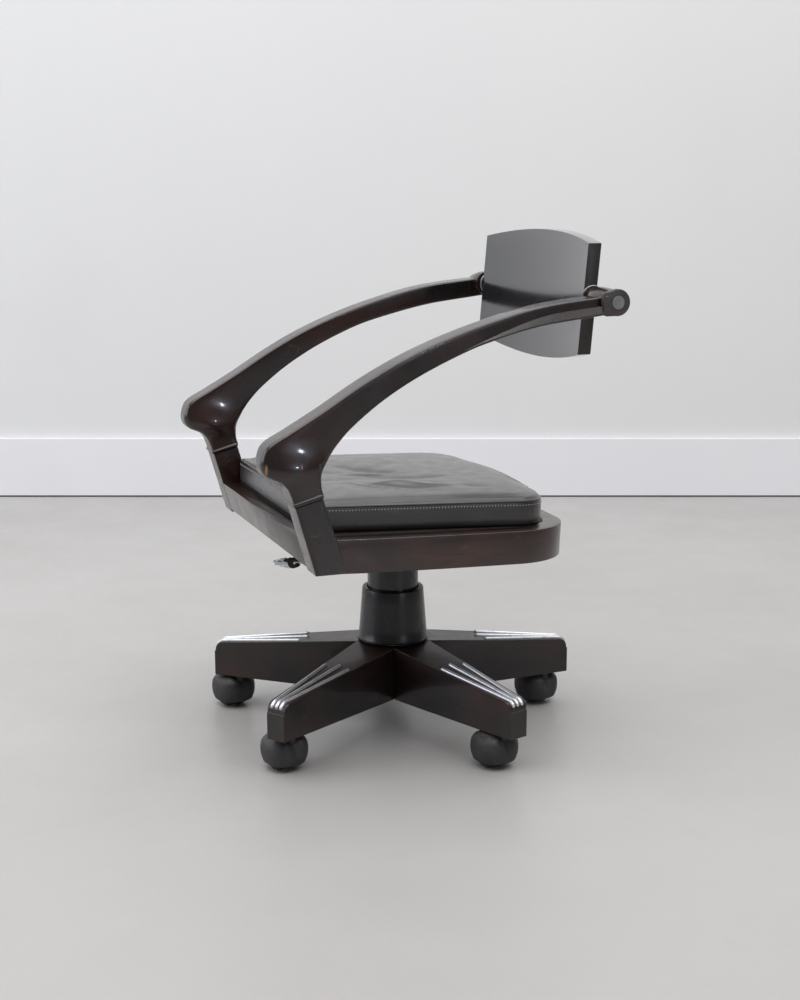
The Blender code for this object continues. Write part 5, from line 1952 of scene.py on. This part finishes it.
@dataclass
class Arms:
    """The two sculpted arms: post, ringed neck, round knuckle, long sweep and rear boss."""

    seat: SeatFrame
    inner: float = 0.2250
    outer: float = 0.2700
    post_top: float = 0.4420
    slope: float = 0.0115
    ring_swell: float = 0.0022
    pivot_y: float = 0.2615
    pivot_z: float = 0.7270
    boss_radius: float = 0.0205
    boss_inner: float = 0.2185
    boss_outer: float = 0.2830
    pin_radius: float = 0.0105
    knuckle_at: float = 0.27
    knuckle_spread: float = 0.110
    knuckle_bulge: float = 0.0090

    def edges(self, count: int) -> tuple[np.ndarray, np.ndarray]:
        """Matching points on the front/top edge and the back/underside edge, as (y, z).

        Args:
            count: Points on each edge.

        Returns:
            The two edges.
        """
        top = [(-0.2505, 0.4490), (-0.2535, 0.4580), (-0.2590, 0.4700), (-0.2700, 0.4805), (-0.2895, 0.4895)]
        top += [(-0.2972, 0.5015), (-0.2955, 0.5185), (-0.2850, 0.5357), (-0.2530, 0.5535), (-0.2030, 0.5820)]
        top += [(-0.1460, 0.6170), (-0.0920, 0.6460), (-0.0400, 0.6690), (0.0130, 0.6885), (0.0600, 0.7030)]
        top += [(0.1110, 0.7168), (0.1570, 0.7258), (0.2030, 0.7315), (0.2580, 0.7365)]
        low = [(-0.2040, 0.4580), (-0.2062, 0.4645), (-0.2073, 0.4710), (-0.2070, 0.4790), (-0.2060, 0.4870)]
        low += [(-0.2030, 0.4960), (-0.1990, 0.5050), (-0.1925, 0.5180), (-0.1807, 0.5345), (-0.1600, 0.5560)]
        low += [(-0.1210, 0.5868), (-0.0760, 0.6150), (-0.0300, 0.6382), (0.0200, 0.6590), (0.0650, 0.6722)]
        low += [(0.1130, 0.6840), (0.1580, 0.6930), (0.2040, 0.6990), (0.2580, 0.7055)]
        return spline(top, count), spline(low, count)

    def section(
        self,
        top: Sequence[float],
        low: Sequence[float],
        half: float,
        corner: float,
        bulge: float,
        cut: float = 0.0,
    ) -> tuple[np.ndarray, np.ndarray]:
        """Rounded rectangle between two edge points, with domed sides and a cut lower outer edge.

        Args:
            top: (y, z) on the front/top edge.
            low: (y, z) on the back/underside edge.
            half: Half the arm's thickness.
            corner: Edge radius.
            bulge: How far each side swells in its middle.
            cut: Share of the outer side's height that the slanted lower facet takes.

        Returns:
            The ring's points, and their (across, height) in the section.
        """
        top, low = np.array(top), np.array(low)
        reach = (top - low) / 2
        length = float(np.linalg.norm(reach))
        edge = -length + 2 * length * cut
        slant = 1.05 * (edge + length) * float(smooth_step(cut, 0.06, 0.25))
        spots = []
        for quarter, (side_x, side_a) in enumerate(((1, 1), (-1, 1), (-1, -1), (1, -1))):
            inset = slant if quarter == 3 else 0.0
            for step in range(6):
                angle = math.pi / 2 * (quarter + step / 5)
                x = side_x * (half - corner) + corner * math.cos(angle) - inset
                spots.append((x, side_a * (length - corner) + corner * math.sin(angle)))
            if quarter == 1:
                spots.extend((-half, -a * (length - corner)) for a in np.linspace(-1, 1, 9)[1:-1])
            elif quarter == 3:
                for t in (0.33, 0.67, 1.0):
                    spots.append((half - inset * (1 - t), -length + corner + (edge + length - corner) * t))
                for t in (0.2, 0.4, 0.6, 0.8):
                    spots.append((half, edge + (length - corner - edge) * t))
            else:
                start_x = side_x * (half - corner)
                across = -side_x * (half - corner - (slant if quarter == 2 else 0.0)) - start_x
                spots.extend((start_x + across * t, side_a * length) for t in (0.25, 0.5, 0.75))
        local = np.array(spots)
        dome = np.clip(1 - (local[:, 1] / length) ** 2, 0, 1)
        local[:, 0] += np.sign(local[:, 0]) * bulge * dome * (np.abs(local[:, 0]) > half - corner * 1.01)
        local[:, 1] = np.minimum(local[:, 1], length)
        centre = low + reach
        along = centre + local[:, 1:] * (reach / length)
        middle = (self.inner + self.outer) / 2
        return np.column_stack([middle + local[:, 0], along]), local

    def sweep(self) -> Shape:
        """The sitter's left arm from the foot of its post to the boss.

        Returns:
            The arm, with its grain.
        """
        half = (self.outer - self.inner) / 2
        seat = self.seat
        rows = []
        feet = ((seat.bottom, 0.0, 1.0), (seat.top, 0.0, 1.0), (0.4180, 0.0058, 0.96))
        for height, rise, share in (*feet, (self.post_top - 0.0006, self.slope, 0.96)):
            front = (seat.front_plane(height), height)
            back = (seat.front_plane(height + rise) + seat.post_depth * share, height + rise)
            rows.append(self.section(front, back, half, 0.0006 if share > 0.99 else 0.0012, 0.0, 0.06))
        for step in np.linspace(0, 1, 13):
            height = self.post_top + 0.0075 * step
            swell = self.ring_swell * math.sin(math.pi * step) - 0.0012 * (step in (0.0, 1.0))
            front = (seat.front_plane(height) - swell, height)
            raised = height + self.slope
            back = (seat.front_plane(raised) + seat.post_depth * 0.945 + swell, raised)
            rows.append(self.section(front, back, half + swell, 0.0018, 0.0, 0.06))
        top, low = self.edges(150)
        for i, (a, b) in enumerate(zip(top, low)):
            share = i / 149
            knuckle = math.exp(-(((share - self.knuckle_at) / self.knuckle_spread) ** 2))
            corner = 0.0030 + 0.0070 * knuckle
            cut = 0.06 + 0.50 * float(smooth_step(share, 0.66, 0.90))
            rows.append(self.section(a, b, half - 0.0006, corner, self.knuckle_bulge * knuckle, cut))
        rings = [ring for ring, _ in rows]
        centres = np.array([ring.mean(axis=0) for ring in rings])
        length = np.concatenate([[0], np.cumsum(np.linalg.norm(np.diff(centres, axis=0), axis=1))])
        grains = []
        for along, (_, local) in zip(length, rows):
            grains.append(np.column_stack([np.full(len(local), along), local]))
        return Shape.loft(rings, grains)

    def turned(self, profile: Sequence[tuple[float, float]], x: float = 0.0, segments: int = 72) -> Shape:
        """A profile turned round the back's pivot line.

        Args:
            profile: (radius, distance) corners.
            x: Where the distances start.
            segments: Points on each circle.

        Returns:
            The turned shape.
        """
        return Shape.lathe(profile, segments).placed(along_x((x, self.pivot_y, self.pivot_z)))

    def drop_outline(self, radius: float, nose: float) -> np.ndarray:
        """A circle about the pivot whose front runs out into a blunt nose.

        Args:
            radius: The circle's radius.
            nose: How far the nose reaches in front of the pivot.

        Returns:
            (y, z) points.
        """
        angles = np.radians(np.linspace(-100, 118, 44))
        points = [(radius * math.cos(a), radius * math.sin(a)) for a in angles]
        points += [(-nose + 0.0020, radius * 0.74), (-nose + 0.0004, radius * 0.68), (-nose, radius * 0.58)]
        points += [(-nose + 0.0012, 0.0), (-nose + 0.0040, -radius * 0.80), (-nose + 0.0056, -radius * 0.95)]
        points += [(-nose + 0.0078, -radius)]
        return np.array(points) + (self.pivot_y, self.pivot_z)

    def boss(self, side: Side) -> tuple[Shape, Shape | None]:
        """A boss on the sitter's left: a barrel toward the panel and a blunt-nosed cheek outside.

        Args:
            side: The sitter's right one tapers into the arm and has no cheek.

        Returns:
            The barrel, and the cheek or None.
        """
        r, bore = self.boss_radius, self.pin_radius + 0.0005
        flank = self.outer - self.boss_inner
        profile = [(bore, 0), (r - 0.0012, 0), (r - 0.0003, 0.0004), (r, 0.0014), (r, flank * 0.36)]
        if side is Side.RIGHT:
            profile += [(r - 0.0012, flank * 0.52), (r - 0.0034, flank * 0.75), (r - 0.0056, flank)]
            profile += [(r - 0.0064, flank + 0.0008), (bore, flank + 0.0008)]
            return self.turned(profile, self.boss_inner), None
        profile += [(r - 0.0006, flank * 0.60), (r - 0.0018, flank * 0.80), (r - 0.0022, flank)]
        barrel = self.turned([*profile, (bore, flank)], self.boss_inner)
        face = self.boss_outer
        steps = [(flank + self.boss_inner - 0.0060, 0.0036, 0.0075), (self.outer + 0.0006, 0.0010, 0.0045)]
        steps += [(self.outer + 0.0030, 0.0, 0.0008), (face - 0.0016, 0.0, 0.0)]
        steps += [(face - 0.0005, 0.0005, 0.0005), (face, 0.0016, 0.0016)]
        rings = []
        for x, shrink, back in steps:
            ring = self.drop_outline(r - shrink, 0.0262 - back)
            rings.append(np.column_stack([np.full(len(ring), x), ring]))
        hub = np.array((self.pivot_y, self.pivot_z))
        round_hole = hub + bore * (ring - hub) / np.linalg.norm(ring - hub, axis=1)[:, None]
        for x in (face, steps[0][0]):
            rings.append(np.column_stack([np.full(len(ring), x), round_hole]))
        return barrel, Shape.tube(rings)

    def pin(self, side: Side) -> Shape:
        """A pivot pin on the sitter's left, with a turned, slightly dished head.

        Args:
            side: The sitter's right one ends nearly flush with its arm.

        Returns:
            The pin.
        """
        face = self.boss_outer if side is Side.LEFT else self.outer
        head, step, deep = face + 0.0012, self.boss_inner + 0.0003, 0.1960
        r, thin = self.pin_radius, 0.0045
        profile = [(0, deep), (thin, deep), (thin, step), (r, step), (r, head - 0.0008)]
        profile += [(r - 0.0003, head - 0.0002), (r - 0.0010, head), (r - 0.0028, head - 0.0002)]
        profile += [(r * 0.5, head - 0.0005), (0, head - 0.0006)]
        return self.turned(profile, segments=64)

    def build(self, shop: Workshop) -> None:
        """Makes both arms and their pins.

        Args:
            shop: Where pieces are made.
        """
        steel = BrushedMetal("Turned grey pin", "929291", 0.50).build()
        looks = {"source": GrainSource.BENT, "scuffs": 0.8, "roughness": 0.26, "coat": 0.4}
        body = Body.SEAT.value
        for side in Side:
            hand = side.word
            chips = KNUCKLE_CHIPS if side is Side.LEFT else ()
            wood = EbonisedBeech(f"Ebonised beech, {hand} arm", chips=chips, **looks).build()
            barrel, cheek = self.boss(side)
            shape = (self.sweep() + barrel).on(side)
            if cheek is not None:
                rubbed = {"dark": "3b3735", "warm": "4a4340", "roughness": 0.45, "coat": 0.2}
                worn = EbonisedBeech("Rubbed beech, boss", **rubbed).build()
                shop.piece("boss_cheek_left", cheek.on(side), worn, body, "arm_wood")
            shop.piece(f"sculpted_arm_{hand}", shape, wood, body, "arm_wood", [f"arm_{hand}"], 40)
            pin = self.pin(side).on(side)
            shop.piece(f"turned_pin_{hand}", pin, steel, body, "pin_metal", [f"pivot_pin_{hand}"])
            LOG.info("%s arm", hand)


# Back


@dataclass
class Back:
    """The hollowed, arched back panel and its two collars."""

    arms: Arms
    half: float = 0.1980
    thick: float = 0.0225
    lean: float = 0.0149 / 0.1730
    hollow: float = 0.0156
    above: float = 0.0862
    below: float = 0.0868
    top_arch: float = 0.0164
    bottom_arch: float = 0.0204

    def front(self, x: float, height: float) -> float:
        """Y of the panel's front face.

        Args:
            x: Place across the panel.
            height: Height above the floor.

        Returns:
            The Y.
        """
        share = 1 - (x / self.half) ** 2
        centre = self.arms.pivot_y - 0.0055 + self.lean * (height - self.arms.pivot_z)
        return centre - self.thick / 2 + self.hollow * share

    def panel(self) -> Shape:
        """The panel as an eased section carried from one end to the other.

        Returns:
            The panel.
        """
        pivot = self.arms.pivot_z
        stations = np.concatenate([[-1, -0.9975], np.linspace(-0.993, 0.993, 61), [0.9975, 1]]) * self.half
        rings = []
        for x in stations:
            share = 1 - (x / self.half) ** 2
            ease = 0.0009 if abs(x) == self.half else 0.0
            low = pivot - self.below - self.bottom_arch * share + ease
            top = pivot + self.above + self.top_arch * share - ease
            section = rounded_box(ease, self.thick - ease, low, top, 0.0011)
            rings.append(np.array([(x, self.front(x, height) + depth, height) for depth, height in section]))
        return self.divided(rings)

    def divided(self, rings: list[np.ndarray]) -> Shape:
        """The rings joined, with the tall faces cut into short ones so that lean and hollow shade evenly.

        Args:
            rings: Sections with four points to a corner.

        Returns:
            The closed shape.
        """
        finer = []
        for ring in rings:
            rows = []
            for i, spot in enumerate(ring):
                after = ring[(i + 1) % len(ring)]
                rows.append(spot)
                if np.linalg.norm(after - spot) > 0.05:
                    rows.extend(spot + (after - spot) * t for t in np.linspace(0, 1, 9)[1:-1])
            finer.append(np.array(rows))
        return Shape.loft(finer)

    def collar(self) -> Shape:
        """The sitter's left waisted spacer between panel and boss.

        Returns:
            The collar.
        """
        low, high, bore = self.half + 0.0006, self.arms.boss_inner - 0.0006, 0.0048
        r, neck = 0.0205, 0.0130
        profile = [(bore, low), (r - 0.0008, low), (r - 0.0002, low + 0.0003), (r, low + 0.0010)]
        profile += [(r, low + 0.0034), (r - 0.0004, low + 0.0042), (r - 0.0014, low + 0.0045)]
        profile += [(neck + 0.0030, low + 0.0052), (neck + 0.0010, low + 0.0062)]
        profile += [(neck, low + 0.0078), (neck, high), (bore, high)]
        return self.arms.turned(profile)

    def washer(self) -> Shape:
        """The sitter's left bright ring between the panel's end and its collar.

        Returns:
            The ring.
        """
        low, inner, r, ease = self.half + 0.0003, 0.0190, 0.0213, 0.0004
        profile = [(inner, low), (r - ease, low), (r, low + ease), (r, low + 0.0009)]
        return self.arms.turned([*profile, (r - ease, low + 0.0012), (inner, low + 0.0012)])

    def build(self, shop: Workshop) -> None:
        """Makes the panel and both collars.

        Args:
            shop: Where pieces are made.
        """
        body = Body.BACK.value
        lacquer = BlackLacquer("Polished black lacquer").build()
        shop.piece("lacquered_panel", self.panel(), lacquer, body, "panel_lacquer", ["back_panel"], 40)
        wood = EbonisedBeech("Ebonised beech, collars", turn=math.pi / 2, scuffs=0.3).build()
        steel = BrushedMetal("Steel washer", "c4c6c9", 0.35).build()
        for side in Side:
            collar, nodes = self.collar().on(side), [f"panel_collar_{side.word}"]
            shop.piece(f"waisted_collar_{side.word}", collar, wood, body, "collar_wood", nodes)
            shop.piece(f"collar_washer_{side.word}", self.washer().on(side), steel, body, "pin_metal")
        LOG.info("back")


# Lever

# The (y, z) outlines of the lever's notched blade and curved grip.
BLADE = [(-0.2313, 0.3167), (-0.2281, 0.3170), (-0.2252, 0.3159), (-0.2222, 0.3127), (-0.2200, 0.3144)]
BLADE += [(-0.2156, 0.3114), (-0.2104, 0.3100), (-0.2017, 0.3109), (-0.1982, 0.3180), (-0.2034, 0.3247)]
BLADE += [(-0.2182, 0.3266), (-0.2278, 0.3252), (-0.2328, 0.3222)]
GRIP = [(-0.2180, 0.3227), (-0.2142, 0.3217), (-0.2118, 0.3188), (-0.2107, 0.3147), (-0.2078, 0.3109)]
GRIP += [(-0.2026, 0.3097), (-0.1947, 0.3114), (-0.1912, 0.3147), (-0.2008, 0.3155), (-0.2034, 0.3183)]
GRIP += [(-0.2008, 0.3213), (-0.1912, 0.3227), (-0.1912, 0.3260), (-0.2156, 0.3253), (-0.2182, 0.3243)]


@dataclass
class Lever:
    """The height lever: a bent rod, a notched blade and a curved grip with ribs."""

    middle: float = 0.0955
    blade_thick: float = 0.0044
    grip_thick: float = 0.0092
    rib: float = 0.0010

    def plate(self, outline: Sequence[tuple[float, float]], thick: float, ease: float) -> Shape:
        """A flat plate standing across X, with eased edges.

        Args:
            outline: (y, z) corners, counter-clockwise.
            thick: Its thickness.
            ease: How far its edges are eased.

        Returns:
            The closed plate.
        """
        flat = np.array(outline)
        along = np.roll(flat, -1, axis=0) - np.roll(flat, 1, axis=0)
        along /= np.linalg.norm(along, axis=1)[:, None]
        eased = flat + np.stack([-along[:, 1], along[:, 0]], axis=1) * ease
        half = thick / 2
        rows = ((-half, eased), (ease - half, flat), (half - ease, flat), (half, eased))
        return Shape.loft([np.column_stack([np.full(len(ring), self.middle + x), ring]) for x, ring in rows])

    def build(self, shop: Workshop) -> None:
        """Dresses the rod and makes the notched blade and the grip with its ribs.

        Args:
            shop: Where pieces are made.
        """
        body = Body.LEVER.value
        steel = BrushedMetal("Bright lever steel", "d2d4d7", 0.26, math.pi / 2).build()
        shop.merged("lever_rod", "bent_lever", steel, body, "lever_steel", 40)
        blade = self.plate(BLADE, self.blade_thick, 0.0004)
        shop.piece("notched_blade", blade, steel, body, "lever_steel")
        rubber = MouldedPlastic("Black ribbed rubber", "0f0f10", 0.62, 0.15).build()
        grip = self.plate(GRIP, self.grip_thick, 0.0007)
        shop.piece("curved_grip", grip, rubber, body, "grip_rubber", ["lever_grip"])
        line = np.array([(self.middle, -0.2140, 0.3252), (self.middle, -0.1930, 0.3258)]) + (0, AXIS_Y, 0)
        values = {"Count": 4, "Radius": 0.0014, "Rib": self.rib, "Material": rubber}
        ribs = rib_tree().run("grip_ribs", line, [(0, 1)], **values)
        shop.hang(ribs, None, body, "grip_rubber")
        LOG.info("lever")


# Room and camera


@dataclass(frozen=True)
class Lamp:
    """A soft rectangular lamp, placed and aimed in the room's frame."""

    name: str
    place: tuple[float, float, float]
    aim: tuple[float, float, float]
    width: float
    height: float
    watts: float
    colour: str

    def hang(self, frame: Matrix) -> None:
        """Makes the lamp.

        Args:
            frame: The room's frame.
        """
        data = bpy.data.lights.new(self.name, "AREA")
        data.shape = "RECTANGLE"
        data.size = self.width
        data.size_y = self.height
        data.energy = self.watts
        data.color = linear(self.colour)[:3]
        item = linked(self.name, data)
        spot, goal = frame @ Vector(self.place), frame @ Vector(self.aim)
        item.location = spot
        item.rotation_euler = (goal - spot).to_track_quat("-Z", "Y").to_euler()


LAMPS = (
    Lamp("overhead", (0.0, 1.75, 4.2), (0.0, 2.8, 0.0), 7.0, 5.0, 300.0, "ffffff"),
    Lamp("window", (-4.2, 2.4, 1.7), (0.0, 2.7, 0.7), 3.2, 2.4, 62.0, "eef3ff"),
    Lamp("far_window", (2.42, -0.80, 1.02), (0.0, 2.5, 0.55), 0.18, 0.16, 8.0, "e6eeff"),
)


@dataclass
class Studio:
    """The room: painted floor, wall with its skirting board, soft light and the camera."""

    height: float = 0.9054
    distance: float = 2.5694
    aside: float = 0.0122
    around: float = 1.2161
    pitch: float = 0.1992
    # The focal length is 1571.98 pixels where the picture is 1000 pixels high, on a 36 mm sensor.
    sensor: float = 36.0
    lens: float = 1571.98 / 1000 * 36
    half_width: float = 9.0
    wall_away: float = 4.55
    skirting: float = 0.172
    skirting_depth: float = 0.016
    # Height of the near-black strip at the skirting's foot, a painted shadow line.
    gap: float = 0.004

    def camera(self) -> None:
        """Makes the camera at the photograph's viewing angle."""
        data = bpy.data.cameras.new("camera")
        data.lens = self.lens
        data.sensor_width = self.sensor
        item = linked("camera", data)
        spot = turn_z(self.around) @ Vector((self.aside, -self.distance, self.height))
        item.location = spot + Vector((0, AXIS_Y, 0))
        item.rotation_euler = (math.pi / 2 - self.pitch, 0, self.around)
        bpy.context.scene.camera = item

    def room_frame(self) -> Matrix:
        """Frame whose origin is on the floor under the camera, with y toward the wall."""
        camera = bpy.context.scene.camera.location
        return Matrix.Translation((camera.x, camera.y, 0)) @ turn_z(self.around)

    def slab(
        self, name: str, start: tuple[float, float], end: tuple[float, float], material: Material
    ) -> None:
        """A flat stage surface across the room.

        Args:
            name: Its name.
            start: (away, height) of its near or lower edge, in the room's frame.
            end: (away, height) of its far or upper edge.
            material: Its paint.
        """
        frame = self.room_frame()
        corners = [(-self.half_width, *start), (self.half_width, *start)]
        corners += [(self.half_width, *end), (-self.half_width, *end)]
        mesh = bpy.data.meshes.new(name)
        mesh.from_pydata([frame @ Vector(corner) for corner in corners], [], [(0, 1, 2, 3)])
        mesh.materials.append(material)
        item = linked(name, mesh)

    def build(self) -> None:
        """Makes camera, floor, wall, skirting with a painted shadow line at its foot, and lights."""
        self.camera()
        floor = StagePaint("Grey floor paint", "b1afad", "a5a29f", 0.36, 0.5).build()
        wall = StagePaint("White wall paint", "e3e3e3", "dededf", 0.80, 0.3, True).build()
        board = StagePaint("White skirting paint", "ededf0", "e5e4e7", 0.45, 0.3, True).build()
        # Painted shadow: a flat near-black strip stands at the skirting's foot in place of a shaded gap.
        gap = StagePaint("Dark gap under the skirting", "100f0f", "2a2625", 0.90, 0.6, True).build()
        far, near, top = self.wall_away, self.wall_away - self.skirting_depth, self.skirting
        self.slab("floor", (-7, 0), (far + 0.02, 0), floor)
        self.slab("wall", (far, top), (far, 5), wall)
        self.slab("skirting_gap", (near, 0), (near, self.gap), gap)
        self.slab("skirting_front", (near, self.gap), (near, top), board)
        self.slab("skirting_top", (near, top), (far, top), board)
        self.lights()

    def lights(self) -> None:
        """Makes the lamps and the pale surroundings, which light the room less than the camera sees them."""
        world = bpy.data.worlds.new("pale room")
        bpy.context.scene.world = world
        world.use_nodes = True
        tree = world.node_tree
        glow = tree.nodes["Background"]
        glow.inputs["Color"].default_value = linear("f4f4f6")
        glow.inputs["Strength"].default_value = 0.20
        rays = add_node(tree, "ShaderNodeLightPath").outputs["Is Camera Ray"]
        seen = add_node(tree, "ShaderNodeBackground", {"Color": linear("dedede"), "Strength": 1.0})
        mixed = add_node(tree, "ShaderNodeMixShader", {0: rays, 1: glow.outputs[0], 2: seen.outputs[0]})
        tree.links.new(mixed.outputs[0], tree.nodes["World Output"].inputs["Surface"])
        for lamp in LAMPS:
            lamp.hang(self.room_frame())


def main() -> None:
    """Builds the chair piece by piece, then the room."""
    logging.basicConfig(level=logging.INFO, format="%(name)s: %(message)s")
    bpy.context.scene.view_settings.view_transform = "Standard"
    for item in list(bpy.data.objects):
        bpy.data.objects.remove(item, do_unlink=True)
    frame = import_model()
    shop = Workshop(frame)
    base = Base()
    seat = SeatFrame()
    arms = Arms(seat)
    base.build(shop)
    Castors().build(shop, base)
    seat.build(shop)
    Cushion(seat).build(shop)
    arms.build(shop)
    Back(arms).build(shop)
    Lever().build(shop)
    Studio().build()


if __name__ == "__main__":
    main()
